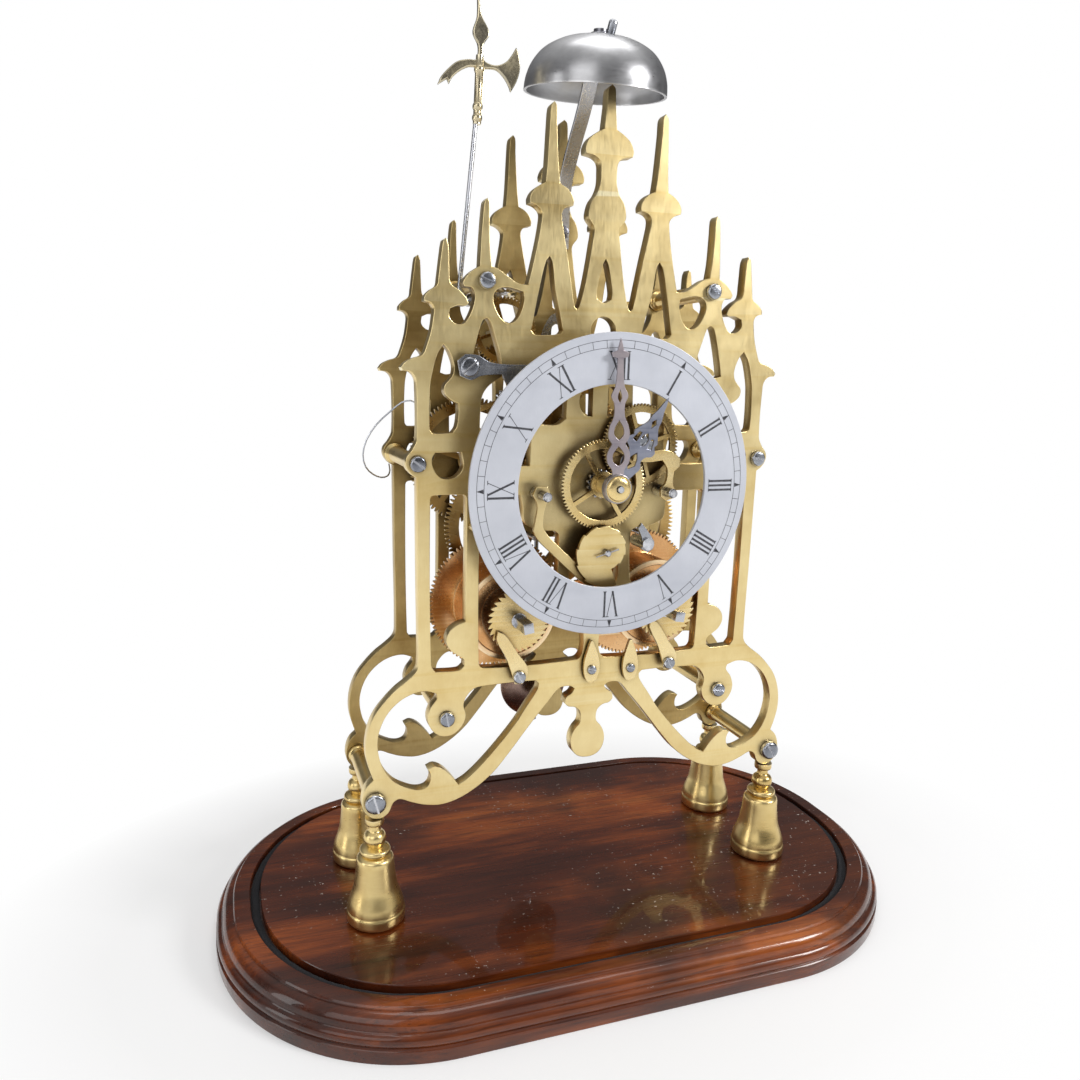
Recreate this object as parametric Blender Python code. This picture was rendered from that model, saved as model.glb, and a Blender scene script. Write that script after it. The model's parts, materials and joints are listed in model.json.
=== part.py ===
"""Gothic skeleton clock on a mahogany base, built as separate named solids.

Metres, +Z up, the front faces -Y.  Origin: middle of the underside of the base.
Depths called *_depth are measured back from the front face of the front plate.
Outlines are given in shares of the tracery grid, measured from the dial centre.
"""

import math

import bmesh
import bpy
import numpy as np
from mathutils import Matrix, Vector
from mathutils.geometry import tessellate_polygon

# Overall layout
grid = 0.010
gap = 0.0003
dial_centre_height = 0.2542
front_face_setback = 0.0378
plate_thickness = 0.0065
plate_clearance = 0.0538
front_tolerance = 0.0006
rear_tolerance = 0.0014

# Wooden base
panel_half_length = 0.1745
panel_half_width = 0.0935
panel_corner = 0.088
base_growth_length = 0.0255
base_growth_width = 0.0215
base_height = 0.0241
corner_steps = 6
first_point_turn = 2.3
edge_profile_shares = (
    (0.00, 1.00), (0.03, 0.98), (0.05, 0.78), (0.27, 0.78), (0.27, 0.94), (0.58, 0.945),
    (0.62, 0.90), (0.63, 0.85), (0.78, 0.78), (0.86, 0.62), (0.85, 0.56), (0.95, 0.51),
    (0.985, 0.42), (0.95, 0.30), (1.00, 0.28), (1.00, 0.00))
groove_floor_share = 0.78
groove_inner_share = 0.05
groove_outer_share = 0.27
lining_top_share = 0.93

# Pillars, screws and feet
pillar_radius = 0.0042
pillar_collar_radius = 0.0056
pillar_collar_length = 0.0050
foot_pillar_radius = 0.0046
tenon_radius = 0.0026
rivet_radius = 0.0040
rivet_height = 0.0012
screw_shank_radius = 0.0019
screw_shank_bite = 0.0080
screw_head_radius = 0.0040
screw_head_height = 0.0026
foot_screw_head_radius = 0.0054
foot_screw_head_height = 0.0036
screw_slot_width = 0.0010
screw_slot_depth = 0.0010
pillar_spots_shares = {
    "top": (6.10, 9.76), "middle": (9.47, 1.13), "low": (8.00, -12.08), "foot": (11.77, -16.25)}
foot_flare_radius = 0.0155
foot_profile_shares = (
    (0.88, 0.000), (1.00, 0.050), (0.98, 0.135), (0.80, 0.275), (0.68, 0.430),
    (0.62, 0.610), (0.42, 0.645), (0.52, 0.682), (0.27, 0.728), (0.36, 0.800),
    (0.20, 0.880), (0.20, 0.925), (0.32, 0.945), (0.32, 1.000))
tab_bottom_share = -17.20

# Dial, hands and motion work
dial_radius = 0.0750
dial_bore_radius = 0.0505
dial_thickness = 0.0018
dial_front_depth = -0.0210
dial_post_radius = 0.0022
dial_post_tenon = 0.0020
dial_tenon_radius = 0.0013
dial_post_spots_shares = ((-6.70, -2.00), (6.70, -2.00), (-1.60, 6.85), (1.60, 6.85))
hand_thickness = 0.0010
hand_boss_radius = 0.0074
hour_hand_depth = -0.0226
minute_hand_depth = -0.0243
minute_hand_lean = -1.2
hour_hand_lean = 31.0
collet_radius = 0.0060
collet_height = 0.0022
arbor_radius = 0.0016
arbor_tip_depth = -0.0285
hour_pipe_radius = 0.0042
hour_pipe_bore = 0.0032
cannon_radius = 0.0028
hour_wheel_radius = 0.0232
hour_wheel_depth = -0.0078
hour_wheel_teeth = 38
wheel_thickness = 0.0018
minute_wheel_spot_shares = (2.18, 1.95)
minute_wheel_radius = 0.0214
minute_wheel_hub_radius = 0.0055
minute_wheel_teeth = 34
minute_wheel_depth = -0.0040
minute_pinion_radius = 0.0056
cannon_pinion_radius = 0.0074
pinion_overhang = 0.0010
snail_spot_shares = (0.10, -3.45)
snail_radius = 0.0188
snail_least_radius = 0.0095
snail_depth = -0.0118
snail_thickness = 0.0020
snail_steps = 12
snail_start = math.radians(-69)
stud_radius = 0.0017
stud_collar_share = 1.3
stud_front_depth = -0.0152
taper_pin_length = 0.0130
taper_pin_radius = 0.0005
taper_pin_lean = math.radians(16)

# Strike work in front of the plate
rack_stud_spot_shares = (-3.40, -0.42)
lever_stud_spot_shares = (-7.10, 5.74)
tail_stud_spot_shares = (3.45, -0.42)
pallet_stud_spot_shares = (2.30, -3.05)
long_stud_radius = 0.0024
long_stud_depth = -0.0185
rack_depth = -0.0094
lever_depth = -0.0068
tail_depth = -0.0122
lever_thickness = 0.0018
pallet_depth = -0.0140

# Barrels, ratchets and clicks
barrel_spot_shares = (4.25, -7.00)
barrel_radius = 0.0250
barrel_wall = 0.0012
barrel_depth = 0.0095
great_wheel_radius = 0.0380
great_wheel_teeth = 32
great_wheel_depth = 0.0380
ratchet_radius = 0.0168
ratchet_teeth = 24
ratchet_depth = -0.0032
winding_arbor_radius = 0.0036
winding_square_half = 0.0027
winding_square_depth = -0.0185
click_spot_shares = {"left": (-4.25, -9.98), "right": (4.45, -9.98)}
click_depth = -0.0054
spring_foot_depth = -0.0030
spring_foot_spots_shares = {"left": (-0.05, -10.05), "right": (2.25, -10.15)}
small_screw_radius = 0.0034
small_screw_height = 0.0020

# Trains between the plates
pinion_radius = 0.0042
train_arbor_radius = 0.0013
first_wheel_radius = 0.0380
first_wheel_teeth = 34
first_wheel_spot_shares = (3.13, -2.90)
time_first_depth = 0.0425
strike_first_depth = 0.0475
centre_wheel_radius = 0.0248
centre_wheel_depth = 0.0200
centre_wheel_teeth = 26
third_wheel_spot_shares = (0.0, 2.95)
third_wheel_radius = 0.0205
third_wheel_depth = 0.0270
third_wheel_teeth = 24
escape_wheel_spot_shares = (0.0, 5.50)
escape_wheel_radius = 0.0170
escape_wheel_depth = 0.0480
escape_wheel_teeth = 20
pallet_arbor_spot_shares = (0.0, 8.55)
pallet_arm_depth = 0.0480
pin_wheel_spot_shares = (-5.35, 0.75)
pin_wheel_radius = 0.0346
pin_wheel_depth = 0.0520
pin_wheel_teeth = 32
locking_wheel_spot_shares = (-3.46, 4.20)
locking_wheel_radius = 0.0306
locking_wheel_depth = 0.0360
locking_wheel_teeth = 28
warning_wheel_spot_shares = (-4.20, 7.65)
warning_wheel_radius = 0.0173
warning_wheel_depth = 0.0300
warning_wheel_teeth = 22
fly_spot_shares = (-3.75, 9.70)
fly_half_span = 0.0120
fly_length = 0.0100
fly_thickness = 0.0007
fly_centre_depth = 0.0460

# Pendulum behind the rear plate
pendulum_depth = 0.0880
pendulum_length = 0.2260
pendulum_rod_radius = 0.0014
bob_radius = 0.0220
bob_half_thickness = 0.0060
cock_reach_depth = 0.0905
cock_width = 0.0120
cock_foot_share = 11.75
cock_foot_low_share = 10.85
cock_foot_high_share = 12.75
cock_arm_high_share = 11.30
cock_cheek_low_share = 9.15
cock_cheek_high_share = 11.05
cock_plate_thickness = 0.0040
suspension_half_width = 0.0028
suspension_thickness = 0.0006
suspension_length = 0.0360
suspension_top = 0.0160
rod_top = 0.0140
rod_collar_length = 0.0070
crutch_depth = 0.0750
crutch_length = 0.0520

# Hammer and bell
hammer_spot_shares = (-6.45, 9.00)
hammer_depth = 0.0180
hammer_rod_radius = 0.0011
hammer_hub_radius = 0.0030
hammer_hub_length = 0.0060
halberd_thickness = 0.0022
halberd_socket_radius = 0.0024
halberd_drop_share = -0.50
halberd_socket_shares = ((0.30, 8.05), (0.42, 11.15))
bell_depth = 0.0210
bell_lean = math.radians(9.5)
bell_rim_height_share = 19.08
bell_radius = 0.0355
bell_rise = 0.0250
bell_wall = 0.0014
bell_hole_radius = 0.0026
bell_stud_radius = 0.0021
bell_nut_radius = 0.0048
bell_nut_height = 0.0028
bell_stud_above = 0.0080
bell_stud_bite = 0.0045
standard_screw_spot_shares = (0.0, 13.15)
strap_width = 0.0076
strap_thickness = 0.0018

# Wire loop at the left
wire_radius = 0.0004

# Front plate tracery, right half from the middle spire down to the pendant
plate_edge_shares = (
    (0.00, 18.95), (0.17, 18.78), (0.23, 18.0), (0.33, 16.98), (0.75, 16.75), (1.10, 16.45),
    (1.27, 16.05), (1.23, 15.82), (0.75, 15.72), (0.48, 15.50), (0.42, 15.0), (0.44, 14.5),
    (0.60, 14.05), (0.87, 13.65), (1.00, 13.15), (0.97, 12.90), (0.75, 12.62), (0.66, 12.40),
    (0.75, 11.7), (0.88, 10.8), (1.10, 9.6), (1.35, 8.72), (1.46, 8.62), (1.57, 8.75),
    (1.80, 9.9), (2.05, 11.2), (2.28, 12.3), (2.38, 13.0), (2.25, 13.25), (1.95, 13.38),
    (1.80, 13.40), (1.78, 13.65), (1.95, 13.98), (2.20, 14.2), (2.52, 14.35), (2.62, 15.2),
    (2.75, 17.0), (2.78, 17.75), (2.90, 17.92), (3.04, 17.75), (3.10, 17.0), (3.18, 15.2),
    (3.25, 14.35), (3.55, 14.2), (3.85, 13.95), (4.02, 13.62), (4.00, 13.39), (3.70, 13.3),
    (3.45, 13.1), (3.38, 12.9), (3.50, 12.0), (3.66, 11.2), (3.85, 10.35), (4.02, 9.66),
    (4.50, 9.70), (5.00, 9.98), (5.50, 10.3), (5.85, 10.42), (5.95, 11.2), (6.00, 12.6),
    (6.02, 13.3), (6.12, 13.45), (6.24, 13.3), (6.35, 12.2), (6.42, 11.0), (6.45, 10.4),
    (6.85, 10.15), (7.15, 9.85), (7.28, 9.62), (7.20, 9.45), (6.85, 9.42), (6.70, 9.2),
    (6.68, 8.9), (6.85, 8.3), (7.20, 7.78), (7.60, 7.75), (7.92, 8.05), (7.90, 8.42),
    (7.50, 8.58), (7.10, 8.58), (6.98, 8.68), (7.10, 8.95), (7.45, 9.28), (7.85, 9.55),
    (7.93, 10.2), (7.98, 11.3), (8.08, 11.58), (8.20, 11.5), (8.32, 10.8), (8.45, 9.8),
    (8.52, 9.45), (8.85, 9.22), (9.12, 8.92), (9.12, 8.72), (8.85, 8.66), (8.68, 8.45),
    (8.70, 8.0), (8.80, 7.4), (9.00, 6.75), (9.22, 6.28), (9.65, 6.12), (10.05, 5.92),
    (10.25, 5.68), (10.18, 5.54), (9.85, 5.5), (9.62, 5.3), (9.52, 5.0), (9.52, 2.3),
    (9.75, 1.8), (10.02, 1.45), (10.05, 1.05), (9.80, 0.65), (9.52, 0.45), (9.50, -4.5),
    (9.48, -9.0), (9.62, -9.4), (10.05, -9.8), (10.65, -10.25), (11.25, -10.85),
    (11.75, -11.5), (12.05, -12.2), (12.20, -12.95), (12.20, -13.7), (12.02, -14.5),
    (11.85, -15.0), (12.20, -15.35), (12.40, -15.85), (12.42, -16.5), (12.10, -17.0),
    (11.60, -17.2), (11.10, -16.95), (10.82, -16.4), (10.50, -16.25), (9.90, -16.5),
    (9.20, -16.75), (8.30, -16.87), (7.30, -16.65), (6.30, -16.12), (5.40, -15.4),
    (4.50, -14.35), (3.60, -13.2), (3.00, -12.45), (2.40, -11.75), (1.85, -11.1),
    (1.50, -10.97), (1.10, -11.0), (0.88, -11.15), (1.05, -11.4), (1.35, -11.6),
    (1.42, -11.95), (1.20, -12.15), (0.85, -12.22), (0.55, -12.45), (0.45, -12.8),
    (0.50, -13.15), (0.75, -13.45), (0.95, -13.85), (1.00, -14.3), (0.85, -14.8),
    (0.50, -15.12), (0.00, -15.22))

# Openings cut on both sides of the plate
paired_openings_shares = (
    ((2.95, 11.04), (2.80, 10.75), (2.62, 9.5), (2.36, 8.5), (2.15, 7.6), (2.30, 7.42),
     (3.60, 7.35), (3.82, 7.55), (3.68, 8.3), (3.45, 9.5), (3.15, 10.75)),
    ((4.25, 9.33), (5.00, 9.50), (5.50, 9.42), (5.75, 9.10), (5.68, 8.60), (5.35, 8.05),
     (4.95, 7.85), (4.60, 8.00), (4.35, 8.40), (4.20, 9.00)),
    ((6.06, 8.05), (5.90, 7.90), (5.65, 7.20), (5.40, 6.40), (5.30, 5.90), (5.60, 5.60),
     (6.50, 5.40), (6.88, 5.50), (6.80, 6.00), (6.55, 7.10), (6.27, 7.95)),
    ((8.20, 6.78), (7.95, 6.50), (7.70, 5.85), (7.73, 5.40), (7.90, 5.15), (8.15, 4.85),
     (8.13, 4.50), (7.85, 4.20), (7.45, 4.00), (7.45, 3.60), (7.55, 2.90), (7.75, 2.62),
     (8.70, 2.60), (8.87, 2.80), (8.85, 4.80), (8.73, 5.50), (8.50, 6.30)),
    ((7.30, 1.68), (8.60, 1.66), (8.75, 1.40), (8.72, 1.00), (8.40, 0.50), (7.90, 0.38),
     (7.45, 0.55), (7.20, 1.00)),
    ((7.15, -0.42), (8.70, -0.42), (8.85, -0.60), (8.82, -9.10), (8.60, -9.48),
     (7.35, -9.50), (7.08, -9.30), (7.10, -8.95), (7.45, -8.68), (7.80, -8.40),
     (8.02, -7.95), (7.90, -7.45), (7.50, -7.10), (7.02, -6.92), (7.02, -0.60)),
    ((3.15, -10.47), (6.10, -10.50), (6.55, -10.60), (6.95, -11.00), (7.10, -11.45),
     (6.98, -12.00), (7.15, -12.55), (7.65, -13.00), (8.30, -13.02), (8.80, -12.60),
     (9.00, -12.00), (8.85, -11.40), (8.50, -10.90), (8.55, -10.65), (9.10, -10.48),
     (9.75, -10.55), (10.40, -10.85), (11.00, -11.40), (11.40, -12.10), (11.60, -12.90),
     (11.55, -13.70), (11.30, -14.50), (10.80, -15.20), (10.10, -15.65), (9.50, -15.85),
     (9.05, -15.75), (8.85, -15.40), (8.88, -15.00), (9.02, -14.78), (8.65, -14.65),
     (8.20, -14.85), (7.75, -15.30), (7.35, -15.85), (6.90, -15.60), (6.20, -15.00),
     (5.20, -13.95), (4.20, -12.75), (3.60, -11.85), (3.00, -10.95), (2.95, -10.65)),
    ((0.42, 4.90), (0.75, 4.88), (1.05, 4.60), (1.15, 4.15), (1.05, 3.75), (0.75, 3.45),
     (0.42, 3.40)),
    ((1.85, 3.30), (2.30, 3.00), (3.10, 3.00), (3.20, 3.40), (3.20, 5.20), (2.90, 6.10),
     (1.95, 6.20), (1.80, 5.60)),
    ((3.75, 0.95), (6.10, 0.95), (6.30, 1.20), (6.30, 4.20), (5.90, 4.90), (4.60, 5.60),
     (3.90, 5.40), (3.72, 4.90), (3.72, 1.20)),
    ((4.20, -0.50), (6.15, -0.50), (6.30, -0.70), (6.30, -9.20), (6.05, -9.50),
     (0.85, -9.50), (0.52, -9.20), (0.45, -8.30), (0.75, -7.10), (1.60, -6.40),
     (3.30, -7.35), (3.65, -7.70), (4.25, -7.90), (4.90, -7.60), (5.15, -7.00),
     (4.90, -6.40), (4.30, -6.12), (3.70, -6.20), (2.30, -5.45), (2.10, -5.10),
     (2.05, -2.70), (2.30, -2.45), (2.90, -2.40), (3.60, -2.20), (3.95, -1.90),
     (4.05, -1.00)))

# Openings on the middle line, right half only
middle_openings_shares = (
    ((0.00, 11.05), (0.14, 10.80), (0.35, 9.90), (0.42, 9.45), (0.38, 9.15), (0.00, 8.98)),
    ((0.00, 8.30), (0.45, 8.12), (0.68, 7.65), (0.45, 7.10), (0.00, 6.92)),
    ((0.00, -3.95), (1.15, -3.95), (1.35, -4.20), (1.35, -5.20), (0.80, -5.95),
     (0.00, -6.25)))

# Hands, pointing up from the centre, right half with openings on the middle line
minute_edge_shares = (
    (0.00, 7.20), (0.10, 6.85), (0.16, 6.62), (0.46, 6.52), (0.40, 6.32), (0.15, 6.26),
    (0.17, 5.60), (0.24, 4.95), (0.44, 4.50), (0.28, 4.10), (0.30, 3.50), (0.50, 3.05),
    (0.56, 2.55), (0.36, 2.20), (0.60, 1.75), (0.58, 1.30), (0.34, 0.95),
    (0.30, 0.60))
minute_openings_shares = (
    ((0.00, 4.80), (0.11, 4.45), (0.00, 4.15)),
    ((0.00, 3.35), (0.24, 2.95), (0.24, 2.62), (0.00, 2.38)),
    ((0.00, 2.10), (0.30, 1.70), (0.26, 1.32), (0.00, 1.12)))
hour_edge_shares = (
    (0.00, 5.15), (0.10, 4.80), (0.17, 4.40), (0.30, 4.00), (0.34, 3.62), (0.58, 3.20),
    (0.74, 2.92), (0.66, 2.72), (0.86, 2.50), (0.80, 2.25), (0.52, 2.05), (0.42, 1.75),
    (0.58, 1.45), (0.48, 1.10), (0.30, 0.60))
hour_openings_shares = (
    ((0.00, 3.92), (0.14, 3.70), (0.00, 3.42)),
    ((0.00, 3.15), (0.18, 2.90), (0.18, 2.60), (0.00, 2.38)),
    ((0.00, 2.05), (0.18, 1.76), (0.26, 1.42), (0.00, 1.10)))
hour_side_opening_shares = (
    (0.32, 3.00), (0.46, 3.00), (0.54, 2.76), (0.60, 2.52), (0.34, 2.46))

# Flat levers, measured from their own pivot
rack_arm_shares = (
    (-0.30, 0.42), (0.28, 0.42), (0.46, 0.02), (0.24, -0.50), (0.10, -1.20), (0.20, -1.80),
    (0.95, -2.60), (1.70, -3.30), (2.50, -4.00), (3.10, -4.62), (2.86, -4.98), (2.20, -4.46),
    (1.36, -3.72), (0.56, -2.96), (-0.16, -2.26), (-0.42, -1.80), (-0.30, -1.20),
    (-0.22, -0.50), (-0.46, 0.00))
strike_lever_shares = (
    (-0.58, 0.30), (-0.20, 0.60), (0.40, 0.55), (1.10, 0.22), (3.00, 0.16), (4.40, 0.30),
    (4.40, -0.06), (3.20, -0.40), (2.60, -0.95), (2.30, -1.85), (1.75, -2.05),
    (1.60, -1.75), (1.90, -0.85), (1.60, -0.32), (0.60, -0.40), (0.10, -0.60),
    (-0.45, -0.42))
tail_lever_shares = (
    (-2.10, 1.66), (-2.02, 1.98), (-0.40, 2.20), (0.20, 2.04), (0.62, 1.74), (0.60, 1.32),
    (0.30, 1.08), (0.26, 0.48), (0.44, 0.05), (0.28, -0.34), (-0.10, -0.44), (-0.40, -0.20),
    (-0.40, 0.20), (-0.16, 0.52), (-0.10, 1.20), (-0.40, 1.66), (-1.20, 1.58))
gathering_shares = (
    (-0.30, 0.28), (-0.55, 0.85), (-0.35, 1.10), (0.15, 0.50), (0.42, 0.10), (0.35, -0.30),
    (0.05, -0.45), (-0.30, -0.25))
click_shares = {
    "left": ((-0.38, 0.14), (-0.72, 1.05), (-1.25, 2.10), (-1.20, 2.55), (-0.78, 2.32),
             (-0.10, 1.30), (0.42, 0.55), (0.42, 0.00), (0.16, -0.40), (-0.22, -0.38)),
    "right": ((-0.38, 0.14), (-0.72, 1.05), (-1.25, 2.10), (-1.20, 2.55), (-0.78, 2.32),
              (-0.10, 1.30), (0.42, 0.55), (0.42, 0.00), (0.16, -0.40), (-0.22, -0.38))}
spring_foot_shares = (
    (-0.10, 1.62), (0.03, 1.60), (0.30, 0.95), (0.46, 0.30), (0.44, -0.15), (0.28, -0.62),
    (0.00, -0.78), (-0.26, -0.62), (-0.44, -0.10), (-0.42, 0.55), (-0.24, 1.20))

anchor_shares = (
    (-0.25, 0.35), (0.25, 0.35), (0.95, 0.05), (1.45, -0.85), (1.55, -1.55), (1.25, -1.62),
    (1.12, -0.90), (0.72, -0.38), (0.20, -0.28), (-0.20, -0.28), (-0.72, -0.38),
    (-1.12, -0.90), (-1.25, -1.62), (-1.55, -1.55), (-1.45, -0.85), (-0.95, 0.05))

# Halberd head, measured from the hammer pivot
halberd_shares = (
    (0.25, 14.35), (0.42, 13.60), (0.50, 13.20), (0.86, 12.52), (0.58, 11.98), (0.58, 11.50),
    (0.68, 11.30), (1.20, 11.20), (1.66, 11.38), (1.96, 11.70), (2.20, 12.08), (2.34, 11.70),
    (2.40, 11.15), (2.24, 10.60), (1.96, 10.12), (1.82, 10.42), (1.56, 10.76), (1.20, 11.00),
    (0.66, 11.00), (0.50, 8.60), (0.18, 8.60), (0.22, 11.02), (-0.16, 10.98), (-0.60, 10.74),
    (-0.94, 10.42), (-1.08, 10.16), (-1.18, 10.36), (-1.62, 10.08), (-1.46, 10.44),
    (-1.10, 10.84), (-0.66, 11.18), (-0.12, 11.32), (0.20, 11.34), (0.30, 11.50),
    (0.30, 11.98), (0.06, 12.50), (0.26, 13.20))
hammer_rod_route_shares = ((0.0, 0.0), (-0.46, 0.48), (-0.48, 0.90), (0.30, 8.75))

# Bell standard from the rear plate forward, as depth and height shares
strap_route_shares = (
    (5.90, 12.30), (5.90, 15.00), (5.40, 16.20), (4.50, 17.40), (3.65, 18.40),
    (3.00, 19.30), (2.45, 20.20), (1.80, 21.10))
bell_profile_shares = (
    (1.000, 0.000), (0.980, 0.240), (0.905, 0.500), (0.755, 0.740), (0.500, 0.920),
    (0.230, 0.990))
bell_wall_shares = (0.0, 0.25, 0.45, 0.70, 0.92, 1.0)
wire_route_shares = (
    (-9.28, 0.78, 3.95), (-9.62, 0.86, 4.12), (-10.05, 1.00, 4.02), (-10.60, 1.20, 3.55),
    (-11.20, 1.42, 2.95), (-11.65, 1.70, 2.20), (-11.80, 2.00, 1.45), (-11.62, 2.35, 0.80),
    (-11.20, 2.75, 0.38), (-10.70, 3.20, 0.15), (-10.25, 3.80, 0.15), (-10.00, 4.50, 0.35),
    (-9.92, 5.20, 0.62))

# Colours as red, green, blue, then roughness and metallic
brass = ((0.80, 0.62, 0.30), 0.25, 1.0)
pale_brass = ((0.86, 0.70, 0.38), 0.30, 1.0)
barrel_brass = ((0.80, 0.50, 0.26), 0.22, 1.0)
steel = ((0.50, 0.51, 0.55), 0.25, 1.0)
blued_steel = ((0.30, 0.31, 0.40), 0.30, 1.0)
nickel = ((0.52, 0.52, 0.53), 0.28, 1.0)
silvered = ((0.78, 0.80, 0.84), 0.45, 0.3)
mahogany = ((0.16, 0.035, 0.012), 0.12, 0.0)
chenille = ((0.012, 0.012, 0.016), 0.95, 0.0)


def clear_scene():
    for thing in list(bpy.data.objects):
        bpy.data.objects.remove(thing, do_unlink=True)


def material(name, finish):
    colour, roughness, metallic = finish
    made = bpy.data.materials.new(name)
    made.use_nodes = True
    shader = made.node_tree.nodes["Principled BSDF"]
    shader.inputs["Base Color"].default_value = (*colour, 1.0)
    shader.inputs["Roughness"].default_value = roughness
    shader.inputs["Metallic"].default_value = metallic
    made.diffuse_color = (*colour, 1.0)
    return made


def spot(shares, depth=0.0):
    """A point given by grid shares from the dial centre and a depth."""
    across, up = shares
    return Vector((across * grid, depth - front_face_setback, dial_centre_height + up * grid))


def publish(name, mesh_data, origin, finish, smooth=None):
    """Turn a bmesh in world coordinates into a named object with its own origin."""
    bmesh.ops.remove_doubles(mesh_data, verts=mesh_data.verts, dist=gap / 1000)
    bmesh.ops.recalc_face_normals(mesh_data, faces=mesh_data.faces)
    bmesh.ops.translate(mesh_data, verts=mesh_data.verts, vec=-origin)
    data = bpy.data.meshes.new(name)
    mesh_data.to_mesh(data)
    mesh_data.free()
    made = bpy.data.objects.new(name, data)
    made.location = origin
    bpy.context.scene.collection.objects.link(made)
    data.materials.append(material(name + "_finish", finish))
    if smooth is not None:
        data.shade_smooth()
        data.set_sharp_from_angle(angle=math.radians(smooth))
    return made


def combine(first, others, operation="UNION"):
    """Boolean the other solids into the first and drop them."""
    for other in others:
        step = first.modifiers.new("join", "BOOLEAN")
        step.operation = operation
        step.solver = "EXACT"
        step.object = other
        graph = bpy.context.evaluated_depsgraph_get()
        graph.update()
        result = bpy.data.meshes.new_from_object(first.evaluated_get(graph))
        first.modifiers.clear()
        first.data = result
        bpy.data.objects.remove(other, do_unlink=True)
    welded = bmesh.new()
    welded.from_mesh(first.data)
    bmesh.ops.remove_doubles(welded, verts=welded.verts, dist=gap / 300)
    bmesh.ops.dissolve_degenerate(welded, edges=welded.edges, dist=gap / 300)
    welded.to_mesh(first.data)
    welded.free()
    finish = first.data.materials[0]
    first.data.materials.clear()
    first.data.materials.append(finish)
    return first


def ring_points(centre, radius, count, turn=0.0):
    across, up = centre
    return [(across + radius * math.cos(turn + 2 * math.pi * k / count),
             up + radius * math.sin(turn + 2 * math.pi * k / count)) for k in range(count)]


def slab(loops, near_depth, far_depth):
    """A flat plate from an outline and openings, given in metres from the dial centre."""
    mesh_data = bmesh.new()
    near = [[mesh_data.verts.new(spot((0, 0), near_depth) + Vector((a, 0, u))) for a, u in loop]
            for loop in loops]
    far = [[mesh_data.verts.new(spot((0, 0), far_depth) + Vector((a, 0, u))) for a, u in loop]
           for loop in loops]
    flat_near = [v for loop in near for v in loop]
    flat_far = [v for loop in far for v in loop]
    for triangle in tessellate_polygon([[Vector((a, u, 0)) for a, u in loop] for loop in loops]):
        mesh_data.faces.new([flat_near[i] for i in triangle])
        mesh_data.faces.new([flat_far[i] for i in reversed(triangle)])
    for here, there in zip(near, far):
        for k in range(len(here)):
            after = (k + 1) % len(here)
            mesh_data.faces.new((here[k], here[after], there[after], there[k]))
    return mesh_data


def scaled(shares, centre=(0.0, 0.0), side=1.0, lean=0.0):
    """Grid shares to metres about a centre, mirrored by side and turned clockwise by lean."""
    turn = math.radians(lean)
    points = []
    for across, up in shares:
        across = across * side
        turned = (across * math.cos(turn) + up * math.sin(turn),
                  up * math.cos(turn) - across * math.sin(turn))
        points.append(((centre[0] + turned[0]) * grid, (centre[1] + turned[1]) * grid))
    return points


def mirrored(half):
    """Close a right half outline whose first and last points may lie on the middle line."""
    left = [(-across, up) for across, up in reversed(half) if across > 0]
    return list(half) + left


def turned(name, profile, origin, axis, finish, segments=16, smooth=40):
    """A round solid from (radius, distance along the axis) pairs, starting on the axis side."""
    mesh_data = bmesh.new()
    rows = []
    for radius, along in profile:
        around = ring_points((0, 0), radius, segments, first_point_turn / segments)
        rows.append([mesh_data.verts.new((x, y, along))
                     for x, y in (around if radius else ((0, 0),))])
    closed = profile[0][0] != 0
    pairs = list(zip(rows, rows[1:]))
    if closed:
        pairs.append((rows[-1], rows[0]))
    for low, high in pairs:
        for k in range(segments):
            after = (k + 1) % segments
            if len(low) == 1 and len(high) == 1:
                continue
            if len(low) == 1:
                mesh_data.faces.new((low[0], high[after], high[k]))
            elif len(high) == 1:
                mesh_data.faces.new((low[k], low[after], high[0]))
            else:
                mesh_data.faces.new((low[k], low[after], high[after], high[k]))
    aim = Vector((0, 0, 1)).rotation_difference(axis).to_matrix().to_4x4()
    bmesh.ops.transform(mesh_data, matrix=Matrix.Translation(origin) @ aim, verts=mesh_data.verts)
    return publish(name, mesh_data, origin, finish, smooth)


def rod(name, centre_shares, near_depth, far_depth, radius, finish, segments=12):
    length = far_depth - near_depth
    return turned(name, [(0, 0), (radius, 0), (radius, length), (0, length)],
                  spot(centre_shares, near_depth), Vector((0, 1, 0)), finish, segments)


def pipe(name, centre_shares, near_depth, far_depth, radius, bore, finish, segments=16):
    length = far_depth - near_depth
    return turned(name, [(bore, 0), (radius, 0), (radius, length), (bore, length)],
                  spot(centre_shares, near_depth), Vector((0, 1, 0)), finish, segments)


def tooth_outline(radius, teeth, depth_share=0.09, lean_share=0.0):
    points = []
    for k in range(teeth):
        start = 2 * math.pi * k / teeth
        pitch = 2 * math.pi / teeth
        tip = start + pitch * (0.5 + lean_share)
        root = radius * (1 - depth_share)
        points.append((root * math.cos(start), root * math.sin(start)))
        points.append((radius * math.cos(tip), radius * math.sin(tip)))
    return points


def crossings(radius, hub, arms, rim_share=0.80, arm_share=0.10, steps=2):
    """Openings between the arms of a crossed-out wheel."""
    loops = []
    for k in range(arms):
        start = 2 * math.pi * k / arms
        end = 2 * math.pi * (k + 1) / arms
        half = radius * arm_share / 2
        loop = []
        for reach, way in ((radius * rim_share, 1), (hub, -1)):
            trim = math.asin(min(0.9, half / reach))
            angles = [start + trim + (end - start - 2 * trim) * step / steps
                      for step in range(steps + 1)]
            loop += [(reach * math.cos(angle), reach * math.sin(angle)) for angle in angles[::way]]
        loops.append(loop)
    return loops


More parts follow.
